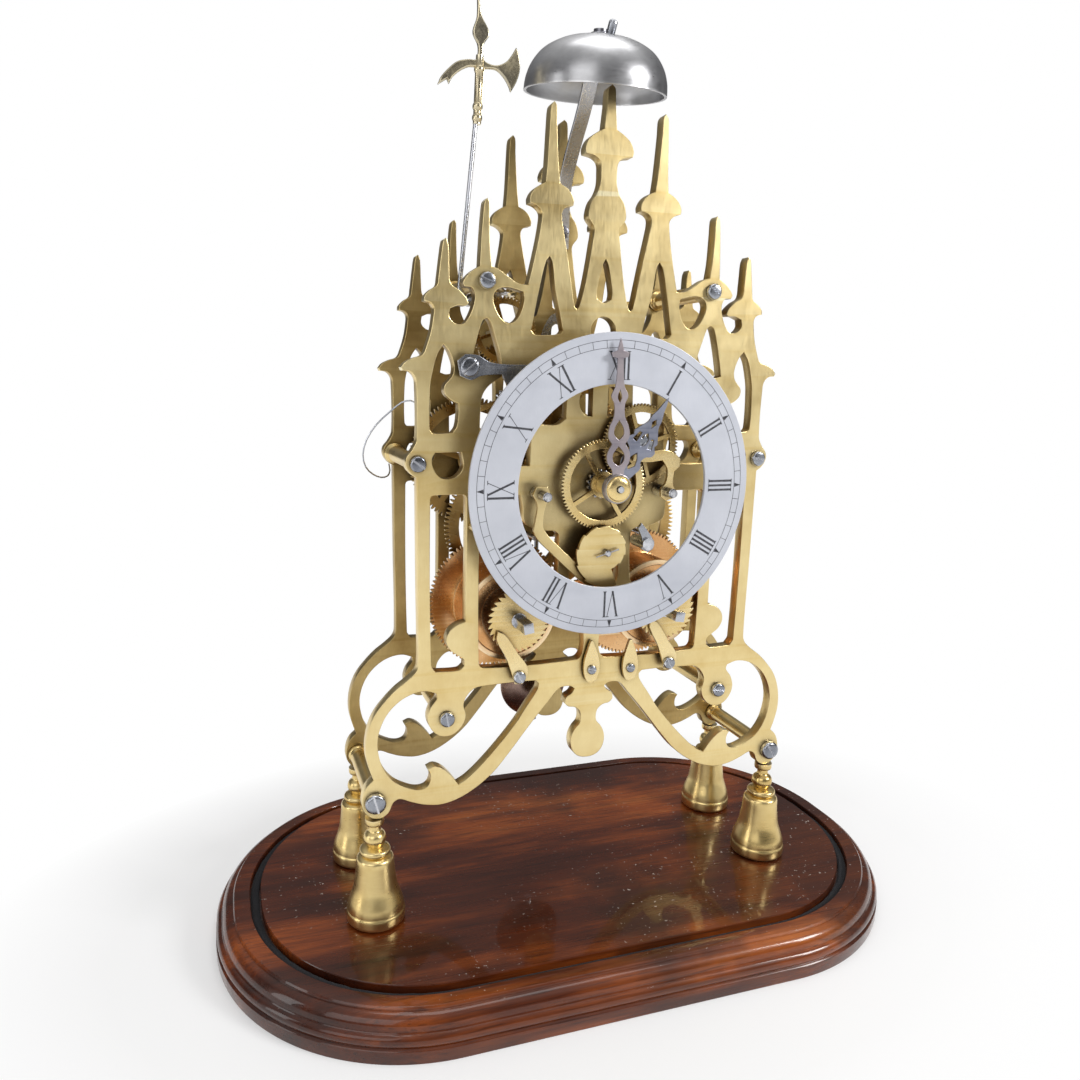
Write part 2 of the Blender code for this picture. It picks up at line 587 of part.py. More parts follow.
def thinned(points, tolerance):
    """Drop outline points that lie within the tolerance of the line past them."""
    if len(points) < 3:
        return points
    first, last = np.array(points[0]), np.array(points[-1])
    run = last - first
    length = math.hypot(*run)
    far, at = 0.0, 0
    for k in range(1, len(points) - 1):
        off = np.array(points[k]) - first
        away = abs(run[0] * off[1] - run[1] * off[0]) / length if length else math.hypot(*off)
        if away > far:
            far, at = away, k
    if far <= tolerance:
        return [points[0], points[-1]]
    return thinned(points[:at + 1], tolerance)[:-1] + thinned(points[at:], tolerance)


def thinned_loop(points, tolerance):
    half = len(points) // 2
    return (thinned(points[:half + 1], tolerance)[:-1]
            + thinned(points[half:] + points[:1], tolerance)[:-1])


def move_loops(loops, centre_shares):
    across, up = centre_shares
    return [[(a + across * grid, u + up * grid) for a, u in loop] for loop in loops]


def wheel(name, centre_shares, depth, radius, teeth, arms, finish, bore=0.0, thickness=None,
          lean_share=0.0, depth_share=0.09, hub=None):
    loops = [tooth_outline(radius, teeth, depth_share, lean_share)]
    if bore:
        loops.append(ring_points((0, 0), bore, 12))
    if arms:
        loops += crossings(radius * (1 - depth_share), hub or radius * 0.2, arms)
    loops = move_loops(loops, centre_shares)
    body = slab(loops, depth, depth + (thickness or wheel_thickness))
    return publish(name, body, spot(centre_shares, depth), finish)


def plate_loops(tolerance):
    loops = [scaled(mirrored(plate_edge_shares))]
    for opening in middle_openings_shares:
        loops.append(scaled(mirrored(opening)))
    for opening in paired_openings_shares:
        loops.append(scaled(opening))
        loops.append(scaled(opening, side=-1.0))
    return [thinned_loop(loop, tolerance) for loop in loops]


def both_sides(shares):
    across, up = shares
    return (("left", (-across, up)), ("right", (across, up)))


def holes(radius, count, places):
    return [loop for place in places
            for loop in move_loops([ring_points((0, 0), radius, count)], place)]


def build_plates():
    """Front plate with bores for arbors, screws and dial posts; rear plate for tenons."""
    pillar_places = [place for shares in pillar_spots_shares.values()
                     for _, place in both_sides(shares)]
    barrel_places = [place for _, place in both_sides(barrel_spot_shares)]
    front = plate_loops(front_tolerance)
    front += holes(cannon_radius + gap, 10, [(0, 0)])
    front += holes(winding_arbor_radius + gap, 10, barrel_places)
    front += holes(screw_shank_radius + gap, 6, pillar_places)
    front += holes(dial_tenon_radius + gap, 6, dial_post_spots_shares)
    publish("front_plate", slab(front, 0, plate_thickness), spot((0, 0), 0), pale_brass)
    near = plate_thickness + plate_clearance
    rear = plate_loops(rear_tolerance)
    rear += holes(tenon_radius + gap, 8, pillar_places)
    rear += holes(train_arbor_radius + gap, 8, [pallet_arbor_spot_shares])
    publish("rear_plate", slab(rear, near, near + plate_thickness), spot((0, 0), near),
            pale_brass)


def rounded_rectangle(half_length, half_width, corner):
    points = []
    for quarter in range(4):
        sign_x = (1, -1, -1, 1)[quarter]
        sign_y = (1, 1, -1, -1)[quarter]
        for step in range(corner_steps + 1):
            angle = math.pi / 2 * (quarter + step / corner_steps)
            points.append((sign_x * (half_length - corner) + corner * math.cos(angle),
                           sign_y * (half_width - corner) + corner * math.sin(angle)))
    return points


def base_ring(mesh_data, out_share, height_share):
    points = rounded_rectangle(panel_half_length + base_growth_length * out_share,
                               panel_half_width + base_growth_width * out_share,
                               panel_corner + base_growth_width * out_share)
    return [mesh_data.verts.new((x, y, base_height * height_share)) for x, y in points]


def loft(mesh_data, rings, close):
    pairs = list(zip(rings, rings[1:]))
    if close:
        pairs.append((rings[-1], rings[0]))
    for low, high in pairs:
        for k in range(len(low)):
            after = (k + 1) % len(low)
            mesh_data.faces.new((low[k], low[after], high[after], high[k]))


def build_base():
    mesh_data = bmesh.new()
    rings = [base_ring(mesh_data, out, up) for out, up in edge_profile_shares]
    loft(mesh_data, rings, False)
    mesh_data.faces.new(rings[0])
    mesh_data.faces.new(rings[-1])
    publish("wood_base", mesh_data, Vector((0, 0, 0)), mahogany, 35)
    clear_in = gap / base_growth_width
    mesh_data = bmesh.new()
    low = groove_floor_share + gap / base_height
    middle = (groove_inner_share + groove_outer_share) / 2
    rings = [base_ring(mesh_data, out, up) for out, up in (
        (groove_inner_share + clear_in * 2, low), (groove_outer_share - clear_in, low),
        (groove_outer_share - clear_in, (low + lining_top_share) / 2), (middle, lining_top_share),
        (groove_inner_share + clear_in * 2, (low + lining_top_share) / 2))]
    loft(mesh_data, rings, True)
    publish("groove_lining", mesh_data, Vector((0, 0, base_height * low)), chenille, 60)


def slotted_screw(name, place, seat_depth, head_radius, head_height, shank_length, finish=steel):
    """Head in front of the seat, shank running back from it."""
    profile = [(0, shank_length), (screw_shank_radius, shank_length), (screw_shank_radius, 0),
               (head_radius, 0), (head_radius, -head_height * 0.75),
               (head_radius * 0.72, -head_height), (0, -head_height)]
    body = turned(name, profile, spot(place, seat_depth), Vector((0, 1, 0)), finish, 8)
    cutter = bmesh.new()
    bmesh.ops.create_cube(cutter, size=1.0)
    bmesh.ops.scale(cutter, vec=(head_radius * 3, screw_slot_depth * 2, screw_slot_width),
                    verts=cutter.verts)
    turn = Matrix.Rotation(math.radians(70), 4, "Y")
    bmesh.ops.transform(cutter, matrix=turn, verts=cutter.verts)
    bmesh.ops.translate(cutter, verts=cutter.verts, vec=spot(place, seat_depth - head_height))
    slot = publish(name + "_slot", cutter, spot(place, seat_depth - head_height), finish)
    return combine(body, [slot], "DIFFERENCE")


def build_pillars():
    for level, shares in pillar_spots_shares.items():
        thick = foot_pillar_radius if level == "foot" else pillar_radius
        head_radius = foot_screw_head_radius if level == "foot" else screw_head_radius
        head_height = foot_screw_head_height if level == "foot" else screw_head_height
        for side, place in both_sides(shares):
            start = plate_thickness + gap
            length = plate_clearance - 2 * gap
            bore = screw_shank_radius + gap
            deep = screw_shank_bite + gap
            through = length + 2 * gap + plate_thickness
            profile = [(0, deep), (bore, deep), (bore, 0), (pillar_collar_radius, 0),
                       (thick, pillar_collar_length),
                       (thick, length - pillar_collar_length),
                       (pillar_collar_radius, length), (tenon_radius, length),
                       (tenon_radius, through), (rivet_radius, through + gap),
                       (0, through + rivet_height)]
            turned(f"{level}_pillar_{side}", profile, spot(place, start), Vector((0, 1, 0)),
                   brass, 10, 35)
            slotted_screw(f"{level}_screw_{side}", place, -gap, head_radius, head_height,
                          plate_thickness + 2 * gap + screw_shank_bite)


def build_feet():
    top = dial_centre_height + tab_bottom_share * grid - gap
    bottom = base_height + gap
    height = top - bottom
    profile = [(0, 0)] + [(foot_flare_radius * r, height * z) for r, z in foot_profile_shares]
    profile.append((0, height))
    mid_front = plate_thickness / 2
    mid_rear = plate_thickness + plate_clearance + plate_thickness / 2
    across = pillar_spots_shares["foot"][0]
    for end, depth in (("front", mid_front), ("rear", mid_rear)):
        for side, sign in (("left", -1), ("right", 1)):
            place = Vector((sign * across * grid, depth - front_face_setback, bottom))
            turned(f"foot_{end}_{side}", profile, place, Vector((0, 0, 1)), brass, 14, 45)


def build_dial():
    far = dial_front_depth + dial_thickness
    loops = [ring_points((0, 0), dial_radius, 40), ring_points((0, 0), dial_bore_radius, 32)]
    ring = publish("chapter_ring", slab(loops, dial_front_depth, far), spot((0, 0), far), silvered)
    posts = []
    for number, place in enumerate(dial_post_spots_shares):
        start = dial_front_depth + dial_thickness / 2
        reach = -gap - start
        profile = [(0, 0), (dial_post_radius, 0), (dial_post_radius, reach),
                   (dial_tenon_radius, reach),
                   (dial_tenon_radius, reach + dial_post_tenon),
                   (0, reach + dial_post_tenon)]
        posts.append(turned(f"post_{number}", profile, spot(place, start), Vector((0, 1, 0)),
                            silvered, 8))
    combine(ring, posts)


def hand_loops(edge, openings, lean, side_opening=None):
    loops = [scaled(mirrored(edge), lean=lean)]
    loops += [scaled(mirrored(opening), lean=lean) for opening in openings]
    if side_opening:
        loops.append(scaled(side_opening, lean=lean))
        loops.append(scaled([(-a, u) for a, u in side_opening], lean=lean))
    return loops


def build_hand(name, edge, openings, lean, depth, boss, bore, finish, side_opening=None):
    """A pierced blade joined to a round boss that is bored for its pipe or arbor."""
    loops = hand_loops(edge, openings, lean, side_opening)
    blade = publish(name, slab(loops, depth, depth + hand_thickness), spot((0, 0), depth), finish)
    lip = hand_thickness * 0.15
    collar = pipe(name + "_boss", (0, 0), depth - lip, depth + hand_thickness + lip, boss, bore,
                  finish, 16)
    return combine(blade, [collar])


def pinion_steps(mesh_depth, radius=None):
    """Profile steps of a pinion that reaches a little past the wheel driving it."""
    near = mesh_depth - pinion_overhang
    far = mesh_depth + wheel_thickness + pinion_overhang
    wide = radius or pinion_radius
    return [(train_arbor_radius, near), (wide, near), (wide, far), (train_arbor_radius, far)]


def build_centre():
    build_hand("hour_hand", hour_edge_shares, hour_openings_shares, hour_hand_lean,
               hour_hand_depth, hand_boss_radius, hour_pipe_radius + gap, blued_steel,
               hour_side_opening_shares)
    build_hand("minute_hand", minute_edge_shares, minute_openings_shares, minute_hand_lean,
               minute_hand_depth, hand_boss_radius, cannon_radius * 0.8 + gap, blued_steel)
    lip = hand_thickness * 0.15
    seat = minute_hand_depth - lip - gap
    profile = [(arbor_radius + gap, 0), (collet_radius * 1.18, 0),
               (collet_radius * 1.18, -collet_height * 0.3),
               (collet_radius, -collet_height * 0.35), (collet_radius * 0.75, -collet_height * 0.8),
               (arbor_radius + gap, -collet_height)]
    turned("hand_collet", profile, spot((0, 0), seat), Vector((0, 1, 0)), brass, 14, 50)

    rear = plate_thickness + plate_clearance - gap
    wheel_body = wheel("centre_wheel", (0, 0), centre_wheel_depth, centre_wheel_radius,
                       centre_wheel_teeth, 5, brass)
    step = minute_hand_depth + hand_thickness + lip + gap
    profile = [(0, arbor_tip_depth), (arbor_radius, arbor_tip_depth),
               (arbor_radius, minute_hand_depth - lip - gap / 2),
               (cannon_radius * 0.8, minute_hand_depth - lip - gap / 2),
               (cannon_radius * 0.8, step), (cannon_radius, step),
               (cannon_radius, minute_wheel_depth - gap),
               (cannon_pinion_radius, minute_wheel_depth - gap),
               (cannon_pinion_radius, minute_wheel_depth + wheel_thickness + gap),
               (cannon_radius, minute_wheel_depth + wheel_thickness + gap),
               (cannon_radius, centre_wheel_depth + wheel_thickness + pinion_overhang),
               (train_arbor_radius, centre_wheel_depth + wheel_thickness + pinion_overhang)]
    profile += pinion_steps(time_first_depth)
    profile += [(train_arbor_radius, rear), (0, rear)]
    arbor = turned("centre_arbor", profile, spot((0, 0), 0), Vector((0, 1, 0)), steel, 8)
    combine(wheel_body, [arbor])

    hour_body = wheel("hour_wheel", (0, 0), hour_wheel_depth, hour_wheel_radius,
                      hour_wheel_teeth, 4, brass, hour_pipe_bore, hub=hour_pipe_radius * 1.6)
    lip = hand_thickness * 0.15
    hour_pipe = pipe("hour_pipe", (0, 0), hour_hand_depth - lip, hour_pipe_end(), hour_pipe_radius,
                     hour_pipe_bore, brass, 12)
    combine(hour_body, [hour_pipe])


def hour_pipe_end():
    """The hour pipe stops at the back face of its wheel, less a hair for the join."""
    return hour_wheel_depth + wheel_thickness * 0.5


def build_motion_work():
    """Minute wheel and its pinion on a short arbor standing on the plate."""
    body = wheel("minute_wheel", minute_wheel_spot_shares, minute_wheel_depth,
                 minute_wheel_radius, minute_wheel_teeth, 4, brass, hub=minute_wheel_hub_radius)
    near = hour_wheel_depth - pinion_overhang
    far = hour_wheel_depth + wheel_thickness + pinion_overhang
    profile = [(0, near - pinion_overhang), (stud_radius, near - pinion_overhang),
               (stud_radius, near), (minute_pinion_radius, near), (minute_pinion_radius, far),
               (stud_radius, far), (stud_radius, -gap), (0, -gap)]
    arbor = turned("minute_arbor", profile, spot(minute_wheel_spot_shares, 0),
                   Vector((0, 1, 0)), steel, 12)
    return combine(body, [arbor])


def lever(name, outline, pivot_shares, depth, thickness, bore, finish, extra_loops=()):
    centre = pivot_shares
    loops = [scaled(outline, centre)]
    if bore:
        loops += move_loops([ring_points((0, 0), bore, 12)], pivot_shares)
    loops += list(extra_loops)
    return publish(name, slab(loops, depth, depth + thickness), spot(pivot_shares, depth), finish)


def build_snail():
    """A twelve-step snail on its stud, held by a taper pin."""
    points = []
    for step in range(snail_steps):
        share = step / (snail_steps - 1)
        radius = snail_radius - (snail_radius - snail_least_radius) * share
        for part in (0.0, 1.0):
            angle = snail_start - 2 * math.pi * (step + part * 0.98) / snail_steps
            points.append((radius * math.cos(angle), radius * math.sin(angle)))
    loops = move_loops([points], snail_spot_shares)
    body = slab(loops, snail_depth, snail_depth + snail_thickness)
    disc = publish("snail", body, spot(snail_spot_shares, snail_depth), pale_brass)
    stud = build_stud("snail_stud", snail_spot_shares, stud_front_depth, stud_radius,
                      snail_depth + snail_thickness - gap)
    middle = spot(snail_spot_shares, (stud_front_depth + snail_depth) / 2)
    along = Vector((math.cos(taper_pin_lean), 0, math.sin(taper_pin_lean)))
    half = along * taper_pin_length / 2
    pin = tube_along("taper_pin", [middle - half, middle + half], taper_pin_radius, steel, 6)
    combine(disc, [stud, pin])


def build_stud(name, place, front_depth, radius, collar_depth, finish=steel):
    """A steel stud standing out of the front plate with a shoulder behind what turns on it."""
    profile = [(0, front_depth), (radius * 0.7, front_depth), (radius, front_depth + radius * 0.5),
               (radius, collar_depth), (radius * stud_collar_share, collar_depth),
               (radius * stud_collar_share, -gap),
               (0, -gap)]
    return turned(name, profile, spot(place, 0), Vector((0, 1, 0)), finish, 12)


def build_ratchet(side, sign):
    """Ratchet wheel and winding square on the barrel arbor."""
    place = (sign * barrel_spot_shares[0], barrel_spot_shares[1])
    body = wheel(f"{side}_ratchet", place, ratchet_depth, ratchet_radius, ratchet_teeth, 0, brass,
                 depth_share=0.12, lean_share=0.35)
    rear = plate_thickness + plate_clearance - gap
    neck = winding_arbor_radius
    profile = [(0, ratchet_depth - gap), (neck * 1.15, ratchet_depth - gap * 2),
               (neck * 1.15, ratchet_depth + wheel_thickness + gap), (neck, -gap),
               (neck, barrel_depth - gap * 2), (neck, rear), (0, rear)]
    profile[0] = (0, ratchet_depth - gap * 2)
    arbor = turned(f"{side}_arbor", profile, spot(place, 0), Vector((0, 1, 0)), steel, 10)
    square = bmesh.new()
    bmesh.ops.create_cube(square, size=1.0)
    length = ratchet_depth - winding_square_depth
    bmesh.ops.scale(square, vec=(winding_square_half * 2, length, winding_square_half * 2),
                    verts=square.verts)
    bmesh.ops.transform(square, matrix=Matrix.Rotation(math.radians(sign * 9), 4, "Y"),
                        verts=square.verts)
    middle = spot(place, (ratchet_depth + winding_square_depth) / 2 + gap * 0.5)
    bmesh.ops.translate(square, verts=square.verts, vec=middle)
    key_square = publish(f"{side}_square", square, middle, steel)
    return combine(body, [arbor, key_square])


def build_barrel(side, sign):
    place = (sign * barrel_spot_shares[0], barrel_spot_shares[1])
    bore = winding_arbor_radius + gap
    body = wheel(f"{side}_barrel", place, great_wheel_depth, great_wheel_radius,
                 great_wheel_teeth, 0, barrel_brass, bore)
    lip = barrel_wall
    end = great_wheel_depth + wheel_thickness * 0.5
    profile = [(bore, barrel_depth), (barrel_radius * 0.30, barrel_depth),
               (barrel_radius * 0.30, barrel_depth + lip * 0.6),
               (barrel_radius * 0.88, barrel_depth + lip * 0.6),
               (barrel_radius * 0.88, barrel_depth), (barrel_radius, barrel_depth),
               (barrel_radius, end), (bore, end)]
    drum = turned(f"{side}_drum", profile, spot(place, 0), Vector((0, 1, 0)), barrel_brass, 20)
    return combine(body, [drum])


def build_click(side):
    """A click lever and the shouldered screw it turns with."""
    place = click_spot_shares[side]
    body = lever(f"{side}_click", click_shares[side], place, click_depth, wheel_thickness, 0, brass)
    seat = click_depth
    profile = [(0, seat - small_screw_height), (small_screw_radius * 0.75, seat - small_screw_height),
               (small_screw_radius, seat - small_screw_height * 0.7), (small_screw_radius, seat + gap),
               (small_screw_radius * 0.8, seat + gap), (small_screw_radius * 0.8, -gap), (0, -gap)]
    screw = turned(f"{side}_screw", profile, spot(place, 0), Vector((0, 1, 0)), steel, 12)
    return combine(body, [screw])


def build_spring_foot(side):
    place = spring_foot_spots_shares[side]
    body = lever(f"{side}_spring", spring_foot_shares, place, spring_foot_depth,
                 wheel_thickness * 1.2, 0, brass)
    seat = spring_foot_depth
    profile = [(0, seat - small_screw_height), (small_screw_radius * 0.5, seat - small_screw_height),
               (small_screw_radius * 0.75, seat - small_screw_height * 0.6),
               (small_screw_radius * 0.75, seat + gap), (small_screw_radius * 0.6, seat + gap),
               (small_screw_radius * 0.6, -gap), (0, -gap)]
    screw = turned(f"{side}_pin", profile, spot(place, 0), Vector((0, 1, 0)), steel, 12)
    return combine(body, [screw])


def train_wheel(name, place, depth, radius, teeth, arms, mesh_depth, lean_share=0.0,
                depth_share=0.09):
    """A crossed-out wheel and its pinion on an arbor that ends just short of both plates."""
    body = wheel(name, place, depth, radius, teeth, arms, brass, lean_share=lean_share,
                 depth_share=depth_share, hub=max(radius * 0.2, pinion_radius * 1.1))
    near = plate_thickness + gap
    far = plate_thickness + plate_clearance - gap
    profile = ([(0, near), (train_arbor_radius, near)] + pinion_steps(mesh_depth)
               + [(train_arbor_radius, far), (0, far)])
    arbor = turned(name + "_arbor", profile, spot(place, 0), Vector((0, 1, 0)), steel, 6)
    return combine(body, [arbor])


def build_trains():
    across, up = first_wheel_spot_shares
    train_wheel("time_first_wheel", (across, up), time_first_depth, first_wheel_radius,
                first_wheel_teeth, 5, great_wheel_depth)
    train_wheel("strike_first_wheel", (-across, up), strike_first_depth, first_wheel_radius,
                first_wheel_teeth, 5, great_wheel_depth)
    train_wheel("third_wheel", third_wheel_spot_shares, third_wheel_depth, third_wheel_radius,
                third_wheel_teeth, 4, centre_wheel_depth)
    train_wheel("escape_wheel", escape_wheel_spot_shares, escape_wheel_depth,
                escape_wheel_radius, escape_wheel_teeth, 5, third_wheel_depth,
                lean_share=0.40, depth_share=0.16)
    train_wheel("pin_wheel", pin_wheel_spot_shares, pin_wheel_depth, pin_wheel_radius,
                pin_wheel_teeth, 5, strike_first_depth)
    train_wheel("locking_wheel", locking_wheel_spot_shares, locking_wheel_depth,
                locking_wheel_radius, locking_wheel_teeth, 4, pin_wheel_depth)
    train_wheel("warning_wheel", warning_wheel_spot_shares, warning_wheel_depth,
                warning_wheel_radius, warning_wheel_teeth, 4, locking_wheel_depth)
    build_fly()


def build_fly():
    """Two-bladed air brake on a slender arbor."""
    near = plate_thickness + gap
    far = plate_thickness + plate_clearance - gap
    profile = ([(0, near), (train_arbor_radius, near)]
               + pinion_steps(warning_wheel_depth, pinion_radius * 0.75)
               + [(train_arbor_radius, far), (0, far)])
    arbor = turned("fly", profile, spot(fly_spot_shares, 0), Vector((0, 1, 0)), brass, 10)
    blade = bmesh.new()
    bmesh.ops.create_cube(blade, size=1.0)
    bmesh.ops.scale(blade, vec=(fly_half_span * 2, fly_length, fly_thickness),
                    verts=blade.verts)
    bmesh.ops.transform(blade, matrix=Matrix.Rotation(math.radians(32), 4, "Y"),
                        verts=blade.verts)
    bmesh.ops.translate(blade, verts=blade.verts, vec=spot(fly_spot_shares, fly_centre_depth))
    combine(arbor, [publish("fly_blade", blade, spot(fly_spot_shares, fly_centre_depth), brass)])


def build_pallets():
    """Anchor, arbor through the rear plate and the crutch behind it."""
    body = lever("pallets", anchor_shares, pallet_arbor_spot_shares, pallet_arm_depth,
                 wheel_thickness, 0, steel)
    near = plate_thickness + gap
    far = crutch_depth + wheel_thickness * 0.5
    arbor = rod("pallet_arbor", pallet_arbor_spot_shares, near, far, train_arbor_radius, steel, 10)
    half = train_arbor_radius * 1.4 / grid
    reach = crutch_length / grid
    crutch_shares = ((-half * 1.6, half * 1.6), (half * 1.6, half * 1.6), (half * 0.7, -half * 3),
                     (half * 0.7, -reach), (-half * 0.7, -reach), (-half * 0.7, -half * 3))
    crutch = lever("crutch", crutch_shares, pallet_arbor_spot_shares, crutch_depth,
                   wheel_thickness * 0.8, 0, steel)
    pin_place = (pallet_arbor_spot_shares[0], pallet_arbor_spot_shares[1] - reach + half)
    pin_end = pendulum_depth - pendulum_rod_radius - gap
    pin = rod("crutch_pin", pin_place, crutch_depth + wheel_thickness * 0.3, pin_end,
              train_arbor_radius * 0.6, steel, 8)
    combine(body, [arbor, crutch, pin])


def build_pendulum():
    """Suspension strip, rod and lens bob in one hanging piece."""
    top = spot(pallet_arbor_spot_shares, pendulum_depth)
    strip = bmesh.new()
    bmesh.ops.create_cube(strip, size=1.0)
    bmesh.ops.scale(strip, vec=(suspension_half_width * 2, suspension_thickness,
                                 suspension_length),
                    verts=strip.verts)
    bmesh.ops.translate(strip, verts=strip.verts, vec=top
                         - Vector((0, 0, suspension_length / 2 - suspension_top)))
    hanging = publish("pendulum", strip, top, steel)
    profile = [(0, rod_top), (pendulum_rod_radius * 2, rod_top),
               (pendulum_rod_radius * 2, rod_top + rod_collar_length),
               (pendulum_rod_radius, rod_top + rod_collar_length + pendulum_rod_radius),
               (pendulum_rod_radius, pendulum_length + bob_radius * 1.15),
               (0, pendulum_length + bob_radius * 1.15)]
    stem = turned("pendulum_rod", profile, top, Vector((0, 0, -1)), steel, 8)
    centre = top - Vector((0, 0, pendulum_length))
    lens = [(0, -bob_half_thickness), (bob_radius * 0.45, -bob_half_thickness * 0.86),
            (bob_radius * 0.80, -bob_half_thickness * 0.45), (bob_radius, -bob_half_thickness * 0.08),
            (bob_radius, bob_half_thickness * 0.08), (bob_radius * 0.80, bob_half_thickness * 0.45),
            (bob_radius * 0.45, bob_half_thickness * 0.86), (0, bob_half_thickness)]
    bob = turned("pendulum_bob", lens, centre, Vector((0, 1, 0)), brass, 20)
    combine(hanging, [stem, bob])


def build_cock():
    """Bracket on the rear plate that carries the pallet arbor and the suspension."""
    half = cock_width / 2 / grid
    seat = plate_thickness * 2 + plate_clearance + gap
    near = pendulum_depth + suspension_thickness / 2 + gap
    back = cock_reach_depth + cock_plate_thickness
    place = spot((0, cock_foot_share), seat)
    parts = []
    for name, low, high, start, end in (
            ("back_cock", cock_foot_low_share, cock_foot_high_share, seat,
             seat + cock_plate_thickness),
            ("cock_arm", cock_foot_low_share, cock_arm_high_share,
             seat + cock_plate_thickness * 0.5, back),
            ("cock_cheek", cock_cheek_low_share, cock_cheek_high_share, near, back - gap)):
        outline = ((-half, low), (-half, high), (half, high), (half, low))
        parts.append(publish(name, slab([scaled(outline)], start, end), place, brass))
    combine(parts[0], parts[1:])


def tube_along(name, points, radius, finish, segments=8):
    """A round bar through the given points, mitred at each bend."""
    mesh_data = bmesh.new()
    rings = []
    side = None
    for k, here in enumerate(points):
        before = points[max(k - 1, 0)]
        after = points[min(k + 1, len(points) - 1)]
        aim = (after - before).normalized()
        side = Vector((0, 1, 0)) if side is None else side
        side = (side - aim * side.dot(aim)).normalized()
        other = aim.cross(side)
        rings.append([mesh_data.verts.new(here + radius * (
            side * math.cos(2 * math.pi * s / segments)
            + other * math.sin(2 * math.pi * s / segments))) for s in range(segments)])
    loft(mesh_data, rings, False)
    mesh_data.faces.new(rings[0])
    mesh_data.faces.new(rings[-1])
    return publish(name, mesh_data, points[0], finish, 50)


def build_hammer():
    """Halberd head and thin rod on a cross arbor between the plates."""
    place = hammer_spot_shares
    near = plate_thickness + gap
    far = plate_thickness + plate_clearance - gap
    hub_from = hammer_depth - hammer_hub_length / 2
    hub_to = hammer_depth + hammer_hub_length / 2
    profile = [(0, near), (train_arbor_radius, near), (train_arbor_radius, hub_from),
               (hammer_hub_radius, hub_from), (hammer_hub_radius, hub_to),
               (train_arbor_radius, hub_to), (train_arbor_radius, far), (0, far)]
    body = turned("halberd_hammer", profile, spot(place, 0), Vector((0, 1, 0)), steel, 12)
    route = [spot((place[0] + a, place[1] + u), hammer_depth)
             for a, u in hammer_rod_route_shares]
    stem = tube_along("hammer_rod", route, hammer_rod_radius, steel)
    outline = [(a + place[0], u + place[1] + halberd_drop_share) for a, u in halberd_shares]
    half = halberd_thickness / 2
    head = publish("halberd_head", slab([scaled(outline)], hammer_depth - half,
                                        hammer_depth + half), spot(place, hammer_depth), brass)
    socket_route = [spot((place[0] + a, place[1] + u), hammer_depth)
                    for a, u in halberd_socket_shares]
    socket = tube_along("halberd_socket", socket_route, halberd_socket_radius, brass, 10)
    combine(body, [stem, head, socket])


def build_bell():
    rim = dial_centre_height + bell_rim_height_share * grid
    centre = Vector((0, bell_depth - front_face_setback, rim))
    aim = Vector((0, -math.sin(bell_lean), math.cos(bell_lean)))
    outer = [(bell_radius * r, bell_rise * z) for r, z in bell_profile_shares]
    inner = [(bell_radius * r - bell_wall, max(bell_rise * z - bell_wall * share, 0))
             for (r, z), share in zip(bell_profile_shares,
                                      bell_wall_shares)]
    profile = [(bell_hole_radius, bell_rise)] + outer[::-1] + inner
    profile.append((bell_hole_radius, bell_rise - bell_wall))
    turned("bell", profile, centre, aim, nickel, 24, 40)
    seat = centre + aim * (bell_rise + gap)
    profile = [(bell_hole_radius, 0), (bell_nut_radius, 0), (bell_nut_radius, bell_nut_height * 0.4),
               (bell_nut_radius * 0.7, bell_nut_height * 0.55),
               (bell_nut_radius * 0.7, bell_nut_height), (bell_hole_radius, bell_nut_height)]
    turned("bell_nut", profile, seat, aim, steel, 12, 30)
    build_standard(centre, aim)


def build_standard(centre, bell_aim):
    """Bent flat strap from the rear plate with the bell stud at its upper end."""
    mesh_data = bmesh.new()
    rear_face = plate_thickness + plate_clearance
    route = []
    for number, (depth_share, height_share) in enumerate(strap_route_shares):
        depth = depth_share * grid
        if number < 2:
            depth = rear_face - gap - strap_thickness / 2
        route.append(Vector((0, depth - front_face_setback,
                             dial_centre_height + height_share * grid)))
    rings = []
    for k, here in enumerate(route):
        before = route[max(k - 1, 0)]
        after = route[min(k + 1, len(route) - 1)]
        aim = (after - before).normalized()
        out = Vector((0, aim.z, -aim.y))
        half_width = strap_width / 2 * (1.0 if k < len(route) - 1 else 0.75)
        rings.append([mesh_data.verts.new(here + Vector((sx * half_width, 0, 0))
                                          + out * (sy * strap_thickness / 2))
                      for sx, sy in ((-1, -1), (1, -1), (1, 1), (-1, 1))])
    loft(mesh_data, rings, False)
    mesh_data.faces.new(rings[0])
    mesh_data.faces.new(rings[-1])
    strap = publish("bell_standard", mesh_data, route[0], steel)
    top = bell_rise + bell_stud_above
    base = (route[-1] - centre).dot(bell_aim) - bell_stud_bite
    shoulder = bell_rise - bell_wall - gap
    profile = [(0, 0), (bell_stud_radius * 1.3, 0), (bell_stud_radius * 1.9, shoulder - base),
               (bell_stud_radius, shoulder - base), (bell_stud_radius, top - base),
               (0, top - base)]
    stud = turned("bell_stud", profile, centre + bell_aim * base, bell_aim, steel, 12)
    seat = rear_face - gap - strap_thickness
    profile = [(0, seat - small_screw_height), (small_screw_radius * 0.8, seat - small_screw_height),
               (small_screw_radius, seat - small_screw_height * 0.5),
               (small_screw_radius, seat + gap), (0, seat + gap)]
    screw = turned("standard_screw", profile, spot(standard_screw_spot_shares, 0), Vector((0, 1, 0)), steel, 12)
    combine(strap, [stud, screw])


